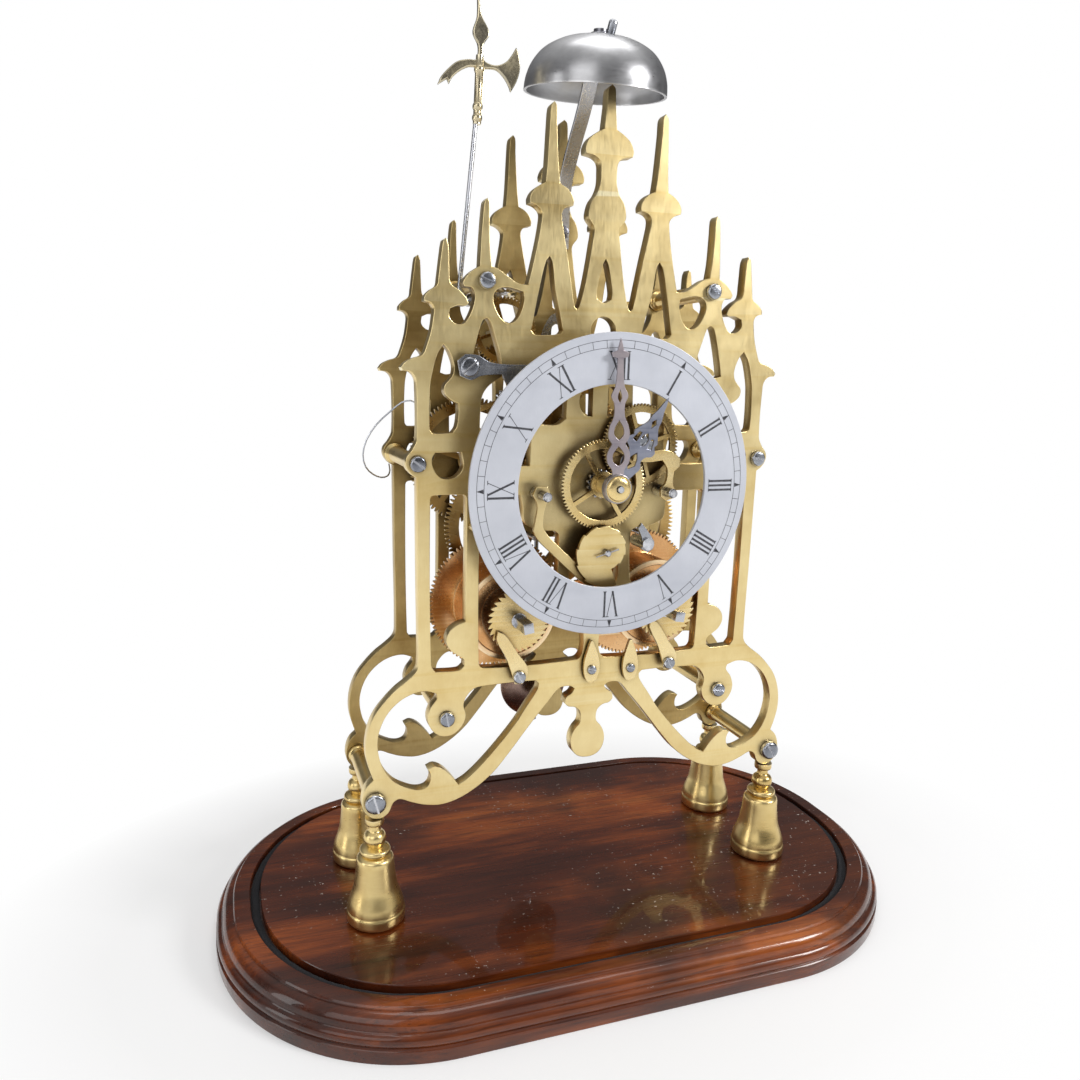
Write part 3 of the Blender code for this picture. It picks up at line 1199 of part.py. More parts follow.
def build_wire():
    route = [spot((a, u), depth * grid) for a, depth, u in wire_route_shares]
    smooth = []
    for k in range(len(route) - 1):
        before = route[max(k - 1, 0)]
        after = route[min(k + 2, len(route) - 1)]
        for step in range(2):
            t = step / 2
            smooth.append(0.5 * ((2 * route[k]) + (route[k + 1] - before) * t
                                 + (2 * before - 5 * route[k] + 4 * route[k + 1] - after) * t * t
                                 + (3 * route[k] - before - 3 * route[k + 1] + after) * t ** 3))
    smooth.append(route[-1])
    curve = bpy.data.curves.new("wire_loop", "CURVE")
    curve.dimensions = "3D"
    curve.bevel_depth = wire_radius
    curve.bevel_resolution = 2
    curve.use_fill_caps = True
    line = curve.splines.new("POLY")
    line.points.add(len(smooth) - 1)
    for point, place in zip(line.points, smooth):
        point.co = (*(place - route[0]), 1.0)
    curve.materials.append(material("wire_loop_finish", steel))
    made = bpy.data.objects.new("wire_loop", curve)
    made.location = route[0]
    bpy.context.scene.collection.objects.link(made)


def studded_lever(name, outline, place, depth, finish):
    """A lever fixed to the long steel stud it turns with."""
    body = lever(name, outline, place, depth, lever_thickness, 0, finish)
    stud = build_stud(name + "_stud", place, long_stud_depth, long_stud_radius,
                      depth + lever_thickness - gap)
    return combine(body, [stud])


def build_front_levers():
    """Rack, strike lever, warning tail and gathering pallet in front of the plate."""
    studded_lever("rack", rack_arm_shares, rack_stud_spot_shares, rack_depth, pale_brass)
    studded_lever("warning_tail", tail_lever_shares, tail_stud_spot_shares, tail_depth, brass)
    strike = lever("strike_lever", strike_lever_shares, lever_stud_spot_shares, lever_depth,
                   lever_thickness, 0, steel)
    seat = lever_depth
    head = screw_head_radius * 1.15
    profile = [(0, seat - small_screw_height), (head * 0.7, seat - small_screw_height),
               (head, seat - small_screw_height * 0.6), (head, seat + gap), (head * 0.8, seat + gap),
               (head * 0.8, -gap), (0, -gap)]
    combine(strike, [turned("lever_screw", profile, spot(lever_stud_spot_shares, 0),
                            Vector((0, 1, 0)), steel, 12)])
    pallet = lever("gathering_pallet", gathering_shares, pallet_stud_spot_shares, pallet_depth,
                   lever_thickness, 0, steel)
    hub = rod("pallet_hub", pallet_stud_spot_shares, pallet_depth - lever_thickness, -gap,
              long_stud_radius * 1.35, steel)
    combine(pallet, [hub])


clear_scene()
build_base()
build_plates()
build_pillars()
build_feet()
build_dial()
build_centre()
build_motion_work()
build_snail()
build_front_levers()
for side_name, side_sign in (("left", -1), ("right", 1)):
    build_ratchet(side_name, side_sign)
    build_barrel(side_name, side_sign)
    build_click(side_name)
    build_spring_foot(side_name)
build_trains()
build_pallets()
build_pendulum()
build_cock()
build_hammer()
build_bell()
build_wire()
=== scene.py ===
"""Looks of the Gothic skeleton clock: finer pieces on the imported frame, finishes, light, camera.

Metres, +Z up, the front faces -Y.  Depths are measured back from the front plate's face.
"""

import json
import math

import bmesh
import bpy
import numpy as np
from mathutils import Matrix, Vector


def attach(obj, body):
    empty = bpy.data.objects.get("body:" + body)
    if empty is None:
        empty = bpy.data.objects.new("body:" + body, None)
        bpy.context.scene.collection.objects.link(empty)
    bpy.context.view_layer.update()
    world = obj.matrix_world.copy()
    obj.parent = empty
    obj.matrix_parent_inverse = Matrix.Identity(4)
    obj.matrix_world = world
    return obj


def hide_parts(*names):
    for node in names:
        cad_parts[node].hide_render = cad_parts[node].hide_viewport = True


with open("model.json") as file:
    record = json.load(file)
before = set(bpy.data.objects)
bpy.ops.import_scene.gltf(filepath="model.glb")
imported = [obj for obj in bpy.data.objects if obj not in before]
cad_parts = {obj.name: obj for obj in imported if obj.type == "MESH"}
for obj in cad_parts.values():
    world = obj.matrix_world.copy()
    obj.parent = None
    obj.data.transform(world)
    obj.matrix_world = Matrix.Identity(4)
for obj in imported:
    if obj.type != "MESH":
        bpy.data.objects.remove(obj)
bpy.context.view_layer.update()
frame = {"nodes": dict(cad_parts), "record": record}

body_of_node = {node: body for body, nodes in frame["record"]["behaviour"]["bodies"].items()
                for node in nodes}

# Overall layout
grid = 0.010
gap = 0.0003
dial_centre_height = 0.2542
front_face_setback = 0.0378
plate_thickness = 0.0065
plate_clearance = 0.0538

# Wooden base
panel_half_length = 0.1745
panel_half_width = 0.0935
panel_corner = 0.088
base_growth_length = 0.0255
base_growth_width = 0.0215
base_height = 0.0241
groove_floor_share = 0.78
groove_inner_share = 0.05
groove_outer_share = 0.27
lining_top_share = 0.93

# Pillars, screws and feet
pillar_radius = 0.0042
pillar_collar_radius = 0.0056
pillar_collar_length = 0.0050
foot_pillar_radius = 0.0046
tenon_radius = 0.0026
rivet_radius = 0.0040
rivet_height = 0.0012
screw_shank_radius = 0.0019
screw_head_radius = 0.0040
screw_head_height = 0.0026
foot_screw_head_radius = 0.0054
foot_screw_head_height = 0.0036
screw_slot_width = 0.0010
pillar_spots_shares = {
    "top": (6.10, 9.76), "middle": (9.47, 1.13), "low": (8.00, -12.08), "foot": (11.77, -16.25)}
foot_flare_radius = 0.0155
tab_bottom_share = -17.20

# Dial, hands and motion work
dial_radius = 0.0750
dial_bore_radius = 0.0505
dial_thickness = 0.0018
dial_front_depth = -0.0210
dial_post_radius = 0.0022
dial_post_tenon = 0.0020
dial_tenon_radius = 0.0013
dial_post_spots_shares = ((-6.70, -2.00), (6.70, -2.00), (-1.60, 6.85), (1.60, 6.85))
hand_thickness = 0.0010
hand_boss_radius = 0.0074
hour_hand_depth = -0.0226
minute_hand_depth = -0.0243
minute_hand_lean = -1.2
hour_hand_lean = 31.0
collet_radius = 0.0060
collet_height = 0.0022
arbor_radius = 0.0016
arbor_tip_depth = -0.0285
hour_pipe_radius = 0.0042
hour_pipe_bore = 0.0032
cannon_radius = 0.0028
hour_wheel_radius = 0.0232
hour_wheel_depth = -0.0078
wheel_thickness = 0.0018
minute_wheel_spot_shares = (2.18, 1.95)
minute_wheel_radius = 0.0214
minute_wheel_hub_radius = 0.0055
minute_wheel_depth = -0.0040
minute_pinion_radius = 0.0056
cannon_pinion_radius = 0.0074
pinion_overhang = 0.0010
snail_spot_shares = (0.10, -3.45)
snail_radius = 0.0188
snail_least_radius = 0.0095
snail_depth = -0.0118
snail_thickness = 0.0020
snail_steps = 12
snail_start = math.radians(-69)
stud_radius = 0.0017
stud_collar_share = 1.3
stud_front_depth = -0.0152
taper_pin_length = 0.0130
taper_pin_radius = 0.0005
taper_pin_lean = math.radians(16)

# Strike work in front of the plate
rack_stud_spot_shares = (-3.40, -0.42)
lever_stud_spot_shares = (-7.10, 5.74)
tail_stud_spot_shares = (3.45, -0.42)
pallet_stud_spot_shares = (2.30, -3.05)
long_stud_radius = 0.0024
long_stud_depth = -0.0185
rack_depth = -0.0094
lever_depth = -0.0068
tail_depth = -0.0122
lever_thickness = 0.0018
pallet_depth = -0.0140

# Barrels, ratchets and clicks
barrel_spot_shares = (4.25, -7.00)
barrel_radius = 0.0250
barrel_wall = 0.0012
barrel_depth = 0.0095
great_wheel_radius = 0.0380
great_wheel_depth = 0.0380
ratchet_radius = 0.0168
ratchet_depth = -0.0032
winding_arbor_radius = 0.0036
winding_square_half = 0.0027
winding_square_depth = -0.0185
click_spot_shares = {"left": (-4.25, -9.98), "right": (4.45, -9.98)}
click_depth = -0.0054
spring_foot_depth = -0.0030
spring_foot_spots_shares = {"left": (-0.05, -10.05), "right": (2.25, -10.15)}
small_screw_radius = 0.0034
small_screw_height = 0.0020

# Trains between the plates
pinion_radius = 0.0042
train_arbor_radius = 0.0013
first_wheel_radius = 0.0380
first_wheel_spot_shares = (3.13, -2.90)
time_first_depth = 0.0425
strike_first_depth = 0.0475
centre_wheel_radius = 0.0248
centre_wheel_depth = 0.0200
third_wheel_spot_shares = (0.0, 2.95)
third_wheel_radius = 0.0205
third_wheel_depth = 0.0270
escape_wheel_spot_shares = (0.0, 5.50)
escape_wheel_radius = 0.0170
escape_wheel_depth = 0.0480
pallet_arbor_spot_shares = (0.0, 8.55)
pallet_arm_depth = 0.0480
pin_wheel_spot_shares = (-5.35, 0.75)
pin_wheel_radius = 0.0346
pin_wheel_depth = 0.0520
locking_wheel_spot_shares = (-3.46, 4.20)
locking_wheel_radius = 0.0306
locking_wheel_depth = 0.0360
warning_wheel_spot_shares = (-4.20, 7.65)
warning_wheel_radius = 0.0173
warning_wheel_depth = 0.0300
fly_spot_shares = (-3.75, 9.70)
fly_half_span = 0.0120
fly_length = 0.0100
fly_thickness = 0.0007
fly_centre_depth = 0.0460

# Pendulum behind the rear plate
pendulum_depth = 0.0880
pendulum_length = 0.2260
pendulum_rod_radius = 0.0014
bob_radius = 0.0220
bob_half_thickness = 0.0060
cock_reach_depth = 0.0905
cock_width = 0.0120
cock_foot_low_share = 10.85
cock_foot_high_share = 12.75
cock_arm_high_share = 11.30
cock_cheek_low_share = 9.15
cock_cheek_high_share = 11.05
cock_plate_thickness = 0.0040
suspension_half_width = 0.0028
suspension_thickness = 0.0006
suspension_length = 0.0360
suspension_top = 0.0160
rod_top = 0.0140
rod_collar_length = 0.0070
crutch_depth = 0.0750
crutch_length = 0.0520

# Hammer and bell
hammer_spot_shares = (-6.45, 9.00)
hammer_depth = 0.0180
hammer_rod_radius = 0.0011
hammer_hub_radius = 0.0030
hammer_hub_length = 0.0060
halberd_thickness = 0.0022
halberd_socket_radius = 0.0024
halberd_drop_share = -0.50
halberd_socket_shares = ((0.30, 8.05), (0.42, 11.15))
bell_depth = 0.0210
bell_lean = math.radians(9.5)
bell_rim_height_share = 19.08
bell_radius = 0.0355
bell_rise = 0.0250
bell_wall = 0.0014
bell_hole_radius = 0.0026
bell_stud_radius = 0.0021
bell_nut_radius = 0.0048
bell_nut_height = 0.0028
bell_stud_above = 0.0080
bell_stud_bite = 0.0045
standard_screw_spot_shares = (0.0, 13.15)
strap_width = 0.0076
strap_thickness = 0.0018

# Front plate tracery, right half from the middle spire down to the pendant
plate_edge_shares = (
    (0.00, 18.95), (0.17, 18.78), (0.23, 18.0), (0.33, 16.98), (0.75, 16.75), (1.10, 16.45),
    (1.27, 16.05), (1.23, 15.82), (0.75, 15.72), (0.48, 15.50), (0.42, 15.0), (0.44, 14.5),
    (0.60, 14.05), (0.87, 13.65), (1.00, 13.15), (0.97, 12.90), (0.75, 12.62), (0.66, 12.40),
    (0.75, 11.7), (0.88, 10.8), (1.10, 9.6), (1.35, 8.72), (1.46, 8.62), (1.57, 8.75),
    (1.80, 9.9), (2.05, 11.2), (2.28, 12.3), (2.38, 13.0), (2.25, 13.25), (1.95, 13.38),
    (1.80, 13.40), (1.78, 13.65), (1.95, 13.98), (2.20, 14.2), (2.52, 14.35), (2.62, 15.2),
    (2.75, 17.0), (2.78, 17.75), (2.90, 17.92), (3.04, 17.75), (3.10, 17.0), (3.18, 15.2),
    (3.25, 14.35), (3.55, 14.2), (3.85, 13.95), (4.02, 13.62), (4.00, 13.39), (3.70, 13.3),
    (3.45, 13.1), (3.38, 12.9), (3.50, 12.0), (3.66, 11.2), (3.85, 10.35), (4.02, 9.66),
    (4.50, 9.70), (5.00, 9.98), (5.50, 10.3), (5.85, 10.42), (5.95, 11.2), (6.00, 12.6),
    (6.02, 13.3), (6.12, 13.45), (6.24, 13.3), (6.35, 12.2), (6.42, 11.0), (6.45, 10.4),
    (6.85, 10.15), (7.15, 9.85), (7.28, 9.62), (7.20, 9.45), (6.85, 9.42), (6.70, 9.2),
    (6.68, 8.9), (6.85, 8.3), (7.20, 7.78), (7.60, 7.75), (7.92, 8.05), (7.90, 8.42),
    (7.50, 8.58), (7.10, 8.58), (6.98, 8.68), (7.10, 8.95), (7.45, 9.28), (7.85, 9.55),
    (7.93, 10.2), (7.98, 11.3), (8.08, 11.58), (8.20, 11.5), (8.32, 10.8), (8.45, 9.8),
    (8.52, 9.45), (8.85, 9.22), (9.12, 8.92), (9.12, 8.72), (8.85, 8.66), (8.68, 8.45),
    (8.70, 8.0), (8.80, 7.4), (9.00, 6.75), (9.22, 6.28), (9.65, 6.12), (10.05, 5.92),
    (10.25, 5.68), (10.18, 5.54), (9.85, 5.5), (9.62, 5.3), (9.52, 5.0), (9.52, 2.3),
    (9.75, 1.8), (10.02, 1.45), (10.05, 1.05), (9.80, 0.65), (9.52, 0.45), (9.50, -4.5),
    (9.48, -9.0), (9.62, -9.4), (10.05, -9.8), (10.65, -10.25), (11.25, -10.85),
    (11.75, -11.5), (12.05, -12.2), (12.20, -12.95), (12.20, -13.7), (12.02, -14.5),
    (11.85, -15.0), (12.20, -15.35), (12.40, -15.85), (12.42, -16.5), (12.10, -17.0),
    (11.60, -17.2), (11.10, -16.95), (10.82, -16.4), (10.50, -16.25), (9.90, -16.5),
    (9.20, -16.75), (8.30, -16.87), (7.30, -16.65), (6.30, -16.12), (5.40, -15.4),
    (4.50, -14.35), (3.60, -13.2), (3.00, -12.45), (2.40, -11.75), (1.85, -11.1),
    (1.50, -10.97), (1.10, -11.0), (0.88, -11.15), (1.05, -11.4), (1.35, -11.6),
    (1.42, -11.95), (1.20, -12.15), (0.85, -12.22), (0.55, -12.45), (0.45, -12.8),
    (0.50, -13.15), (0.75, -13.45), (0.95, -13.85), (1.00, -14.3), (0.85, -14.8),
    (0.50, -15.12), (0.00, -15.22))

# Openings cut on both sides of the plate
paired_openings_shares = (
    ((2.95, 11.04), (2.80, 10.75), (2.62, 9.5), (2.36, 8.5), (2.15, 7.6), (2.30, 7.42),
     (3.60, 7.35), (3.82, 7.55), (3.68, 8.3), (3.45, 9.5), (3.15, 10.75)),
    ((4.25, 9.33), (5.00, 9.50), (5.50, 9.42), (5.75, 9.10), (5.68, 8.60), (5.35, 8.05),
     (4.95, 7.85), (4.60, 8.00), (4.35, 8.40), (4.20, 9.00)),
    ((6.06, 8.05), (5.90, 7.90), (5.65, 7.20), (5.40, 6.40), (5.30, 5.90), (5.60, 5.60),
     (6.50, 5.40), (6.88, 5.50), (6.80, 6.00), (6.55, 7.10), (6.27, 7.95)),
    ((8.20, 6.78), (7.95, 6.50), (7.70, 5.85), (7.73, 5.40), (7.90, 5.15), (8.15, 4.85),
     (8.13, 4.50), (7.85, 4.20), (7.45, 4.00), (7.45, 3.60), (7.55, 2.90), (7.75, 2.62),
     (8.70, 2.60), (8.87, 2.80), (8.85, 4.80), (8.73, 5.50), (8.50, 6.30)),
    ((7.30, 1.68), (8.60, 1.66), (8.75, 1.40), (8.72, 1.00), (8.40, 0.50), (7.90, 0.38),
     (7.45, 0.55), (7.20, 1.00)),
    ((7.15, -0.42), (8.70, -0.42), (8.85, -0.60), (8.82, -9.10), (8.60, -9.48),
     (7.35, -9.50), (7.08, -9.30), (7.10, -8.95), (7.45, -8.68), (7.80, -8.40),
     (8.02, -7.95), (7.90, -7.45), (7.50, -7.10), (7.02, -6.92), (7.02, -0.60)),
    ((3.15, -10.47), (6.10, -10.50), (6.55, -10.60), (6.95, -11.00), (7.10, -11.45),
     (6.98, -12.00), (7.15, -12.55), (7.65, -13.00), (8.30, -13.02), (8.80, -12.60),
     (9.00, -12.00), (8.85, -11.40), (8.50, -10.90), (8.55, -10.65), (9.10, -10.48),
     (9.75, -10.55), (10.40, -10.85), (11.00, -11.40), (11.40, -12.10), (11.60, -12.90),
     (11.55, -13.70), (11.30, -14.50), (10.80, -15.20), (10.10, -15.65), (9.50, -15.85),
     (9.05, -15.75), (8.85, -15.40), (8.88, -15.00), (9.02, -14.78), (8.65, -14.65),
     (8.20, -14.85), (7.75, -15.30), (7.35, -15.85), (6.90, -15.60), (6.20, -15.00),
     (5.20, -13.95), (4.20, -12.75), (3.60, -11.85), (3.00, -10.95), (2.95, -10.65)),
    ((0.42, 4.90), (0.75, 4.88), (1.05, 4.60), (1.15, 4.15), (1.05, 3.75), (0.75, 3.45),
     (0.42, 3.40)),
    ((1.85, 3.30), (2.30, 3.00), (3.10, 3.00), (3.20, 3.40), (3.20, 5.20), (2.90, 6.10),
     (1.95, 6.20), (1.80, 5.60)),
    ((3.75, 0.95), (6.10, 0.95), (6.30, 1.20), (6.30, 4.20), (5.90, 4.90), (4.60, 5.60),
     (3.90, 5.40), (3.72, 4.90), (3.72, 1.20)),
    ((4.20, -0.50), (6.15, -0.50), (6.30, -0.70), (6.30, -9.20), (6.05, -9.50),
     (0.85, -9.50), (0.52, -9.20), (0.45, -8.30), (0.75, -7.10), (1.60, -6.40),
     (3.30, -7.35), (3.65, -7.70), (4.25, -7.90), (4.90, -7.60), (5.15, -7.00),
     (4.90, -6.40), (4.30, -6.12), (3.70, -6.20), (2.30, -5.45), (2.10, -5.10),
     (2.05, -2.70), (2.30, -2.45), (2.90, -2.40), (3.60, -2.20), (3.95, -1.90),
     (4.05, -1.00)))

# Openings on the middle line, right half only
middle_openings_shares = (
    ((0.00, 11.05), (0.14, 10.80), (0.35, 9.90), (0.42, 9.45), (0.38, 9.15), (0.00, 8.98)),
    ((0.00, 8.30), (0.45, 8.12), (0.68, 7.65), (0.45, 7.10), (0.00, 6.92)),
    ((0.00, -3.95), (1.15, -3.95), (1.35, -4.20), (1.35, -5.20), (0.80, -5.95),
     (0.00, -6.25)))

# Hands, pointing up from the centre, right half with openings on the middle line
minute_edge_shares = (
    (0.00, 7.20), (0.10, 6.85), (0.16, 6.62), (0.46, 6.52), (0.40, 6.32), (0.15, 6.26),
    (0.17, 5.60), (0.24, 4.95), (0.44, 4.50), (0.28, 4.10), (0.30, 3.50), (0.50, 3.05),
    (0.56, 2.55), (0.36, 2.20), (0.60, 1.75), (0.58, 1.30), (0.34, 0.95),
    (0.30, 0.60))
minute_openings_shares = (
    ((0.00, 4.80), (0.11, 4.45), (0.00, 4.15)),
    ((0.00, 3.35), (0.24, 2.95), (0.24, 2.62), (0.00, 2.38)),
    ((0.00, 2.10), (0.30, 1.70), (0.26, 1.32), (0.00, 1.12)))
hour_edge_shares = (
    (0.00, 5.15), (0.10, 4.80), (0.17, 4.40), (0.30, 4.00), (0.34, 3.62), (0.58, 3.20),
    (0.74, 2.92), (0.66, 2.72), (0.86, 2.50), (0.80, 2.25), (0.52, 2.05), (0.42, 1.75),
    (0.58, 1.45), (0.48, 1.10), (0.30, 0.60))
hour_openings_shares = (
    ((0.00, 3.92), (0.14, 3.70), (0.00, 3.42)),
    ((0.00, 3.15), (0.18, 2.90), (0.18, 2.60), (0.00, 2.38)),
    ((0.00, 2.05), (0.18, 1.76), (0.26, 1.42), (0.00, 1.10)))
hour_side_opening_shares = (
    (0.32, 3.00), (0.46, 3.00), (0.54, 2.76), (0.60, 2.52), (0.34, 2.46))

# Flat levers, measured from their own pivot
rack_arm_shares = (
    (-0.30, 0.42), (0.28, 0.42), (0.46, 0.02), (0.24, -0.50), (0.10, -1.20), (0.20, -1.80),
    (0.95, -2.60), (1.70, -3.30), (2.50, -4.00), (3.10, -4.62), (2.86, -4.98), (2.20, -4.46),
    (1.36, -3.72), (0.56, -2.96), (-0.16, -2.26), (-0.42, -1.80), (-0.30, -1.20),
    (-0.22, -0.50), (-0.46, 0.00))
strike_lever_shares = (
    (-0.58, 0.30), (-0.20, 0.60), (0.40, 0.55), (1.10, 0.22), (3.00, 0.16), (4.40, 0.30),
    (4.40, -0.06), (3.20, -0.40), (2.60, -0.95), (2.30, -1.85), (1.75, -2.05),
    (1.60, -1.75), (1.90, -0.85), (1.60, -0.32), (0.60, -0.40), (0.10, -0.60),
    (-0.45, -0.42))
tail_lever_shares = (
    (-2.10, 1.66), (-2.02, 1.98), (-0.40, 2.20), (0.20, 2.04), (0.62, 1.74), (0.60, 1.32),
    (0.30, 1.08), (0.26, 0.48), (0.44, 0.05), (0.28, -0.34), (-0.10, -0.44), (-0.40, -0.20),
    (-0.40, 0.20), (-0.16, 0.52), (-0.10, 1.20), (-0.40, 1.66), (-1.20, 1.58))
gathering_shares = (
    (-0.30, 0.28), (-0.55, 0.85), (-0.35, 1.10), (0.15, 0.50), (0.42, 0.10), (0.35, -0.30),
    (0.05, -0.45), (-0.30, -0.25))
click_shares = (
    (-0.38, 0.14), (-0.72, 1.05), (-1.25, 2.10), (-1.20, 2.55), (-0.78, 2.32), (-0.10, 1.30),
    (0.42, 0.55), (0.42, 0.00), (0.16, -0.40), (-0.22, -0.38))
spring_foot_shares = (
    (-0.10, 1.62), (0.03, 1.60), (0.30, 0.95), (0.46, 0.30), (0.44, -0.15), (0.28, -0.62),
    (0.00, -0.78), (-0.26, -0.62), (-0.44, -0.10), (-0.42, 0.55), (-0.24, 1.20))

anchor_shares = (
    (-0.25, 0.35), (0.25, 0.35), (0.95, 0.05), (1.45, -0.85), (1.55, -1.55), (1.25, -1.62),
    (1.12, -0.90), (0.72, -0.38), (0.20, -0.28), (-0.20, -0.28), (-0.72, -0.38),
    (-1.12, -0.90), (-1.25, -1.62), (-1.55, -1.55), (-1.45, -0.85), (-0.95, 0.05))

# Halberd head, measured from the hammer pivot
halberd_shares = (
    (0.25, 14.35), (0.42, 13.60), (0.50, 13.20), (0.86, 12.52), (0.58, 11.98), (0.58, 11.50),
    (0.68, 11.30), (1.20, 11.20), (1.66, 11.38), (1.96, 11.70), (2.20, 12.08), (2.34, 11.70),
    (2.40, 11.15), (2.24, 10.60), (1.96, 10.12), (1.82, 10.42), (1.56, 10.76), (1.20, 11.00),
    (0.66, 11.00), (0.50, 8.60), (0.18, 8.60), (0.22, 11.02), (-0.16, 10.98), (-0.60, 10.74),
    (-0.94, 10.42), (-1.08, 10.16), (-1.18, 10.36), (-1.62, 10.08), (-1.46, 10.44),
    (-1.10, 10.84), (-0.66, 11.18), (-0.12, 11.32), (0.20, 11.34), (0.30, 11.50),
    (0.30, 11.98), (0.06, 12.50), (0.26, 13.20))
hammer_rod_route_shares = ((0.0, 0.0), (-0.46, 0.48), (-0.48, 0.90), (0.30, 8.75))

# Bell standard from the rear plate forward, as depth and height shares
strap_route_shares = (
    (5.90, 12.30), (5.90, 15.00), (5.40, 16.20), (4.50, 17.40), (3.65, 18.40),
    (3.00, 19.30), (2.45, 20.20), (1.80, 21.10))
bell_profile_shares = (
    (1.000, 0.000), (0.980, 0.240), (0.905, 0.500), (0.755, 0.740), (0.500, 0.920),
    (0.230, 0.990))
bell_wall_shares = (0.0, 0.25, 0.45, 0.70, 0.92, 1.0)

# Finer counts for the shown wheels
shown_teeth = {
    "hour_wheel": 76, "minute_wheel": 70, "centre_wheel": 80, "third_wheel": 68,
    "escape_wheel": 30, "pin_wheel": 90, "locking_wheel": 80, "warning_wheel": 54,
    "time_first_wheel": 96, "strike_first_wheel": 96, "great_wheel": 96, "ratchet": 30}
pinion_leaves = 8
edge_round = 0.00030
small_round = 0.00015
lever_round = 0.00022
snail_round = 0.00020
halberd_round = 0.00060
square_round = 0.00040
turned_round = 0.00040
ring_round = 0.00004
plate_step = 0.0008
hand_step = 0.0005
lever_step = 0.0006
collet_ring_outer_share = 1.17
collet_ring_inner_share = 1.03

# Space for arbors between the plates
inside_near = plate_thickness + gap
inside_far = plate_thickness + plate_clearance - gap

# Dial marks
numeral_outer_radius = 0.0660
numeral_inner_radius = 0.0525
track_inner_radius = 0.0676
track_outer_radius = 0.0712
track_line = 0.00022
mark_height = 0.00006
marker_foot_half = 0.0011
marker_tip_half = 0.00005
numeral_names = ("XII", "I", "II", "III", "IIII", "V", "VI", "VII", "VIII", "IX", "X", "XI")

# Groove lining and floor
lining_fill = 0.55
floor_fade_length = 0.30
floor_fade_width = 0.20
floor_half = 6.0
fluff_low = -0.0004
fluff_high = 0.0002
# Reach of the painted shade in the recesses of the metals
painted_shade_reach = 0.022

# Camera
camera_place = (-0.18186, -0.43655, 0.30706)
camera_azimuth = math.radians(-17.71)
camera_elevation = math.radians(11.53)
camera_roll = math.radians(0.84)
camera_lens = 28.145
camera_sensor = 36.0
camera_shift = (0.0407, 0.0088)

# Studio lamps as place, width, power and height, all aimed at one point
lamp_aim = (0.0, 0.0, 0.22)
lamps = {
    "key": ((1.15, -1.0, 0.95), 0.45, 17, None), "fill": ((-1.2, -1.3, 1.0), 1.2, 8, None),
    "top": ((0.2, 0.1, 1.7), 0.9, 8, None), "strip": ((-1.4, -0.2, 0.4), 0.30, 3, 1.0)}


def spot(shares, depth=0.0):
    across, up = shares
    return Vector((across * grid, depth - front_face_setback, dial_centre_height + up * grid))


# Finishes


def shader_nodes(name):
    made = bpy.data.materials.new(name)
    made.use_nodes = True
    tree = made.node_tree
    return made, tree, tree.nodes["Principled BSDF"]


def noise_field(tree, scale, detail=4.0, rough=0.55, stretch=(1.0, 1.0, 1.0)):
    place = tree.nodes.new("ShaderNodeTexCoord")
    mapping = tree.nodes.new("ShaderNodeMapping")
    mapping.inputs["Scale"].default_value = stretch
    noise = tree.nodes.new("ShaderNodeTexNoise")
    noise.inputs["Scale"].default_value = scale
    noise.inputs["Detail"].default_value = detail
    noise.inputs["Roughness"].default_value = rough
    tree.links.new(place.outputs["Object"], mapping.inputs["Vector"])
    tree.links.new(mapping.outputs["Vector"], noise.inputs["Vector"])
    return noise.outputs["Fac"]


def ramp(tree, factor, stops):
    made = tree.nodes.new("ShaderNodeValToRGB")
    made.color_ramp.elements[0].position = stops[0][0]
    made.color_ramp.elements[0].color = (*stops[0][1], 1.0)
    made.color_ramp.elements[1].position = stops[-1][0]
    made.color_ramp.elements[1].color = (*stops[-1][1], 1.0)
    for position, colour in stops[1:-1]:
        made.color_ramp.elements.new(position).color = (*colour, 1.0)
    tree.links.new(factor, made.inputs["Fac"])
    return made.outputs["Color"]


def spread(tree, factor, low, high, from_low=0.3, from_high=0.7):
    made = tree.nodes.new("ShaderNodeMapRange")
    for key, value in (("From Min", from_low), ("From Max", from_high), ("To Min", low),
                       ("To Max", high)):
        made.inputs[key].default_value = value
    tree.links.new(factor, made.inputs["Value"])
    return made.outputs["Result"]


def mixed(tree, factor, first, second, mode="MIX"):
    made = tree.nodes.new("ShaderNodeMix")
    made.data_type = "RGBA"
    made.blend_type = mode
    for socket, value in ((made.inputs[0], factor), (made.inputs[6], first),
                          (made.inputs[7], second)):
        if hasattr(value, "is_output"):
            tree.links.new(value, socket)
        elif isinstance(value, tuple):
            socket.default_value = (*value, 1.0)
        else:
            socket.default_value = value
    return made.outputs[2]


def bump(tree, shader, height, strength, distance):
    made = tree.nodes.new("ShaderNodeBump")
    made.inputs["Strength"].default_value = strength
    made.inputs["Distance"].default_value = distance
    tree.links.new(height, made.inputs["Height"])
    tree.links.new(made.outputs["Normal"], shader.inputs["Normal"])


# Brightening on sharp edges: partly rubbed wear, partly a painted highlight along the bevels
def highlit_worn_edges(tree, low=0.52, high=0.60):
    geometry = tree.nodes.new("ShaderNodeNewGeometry")
    return spread(tree, geometry.outputs["Pointiness"], 0.0, 1.0, low, high)


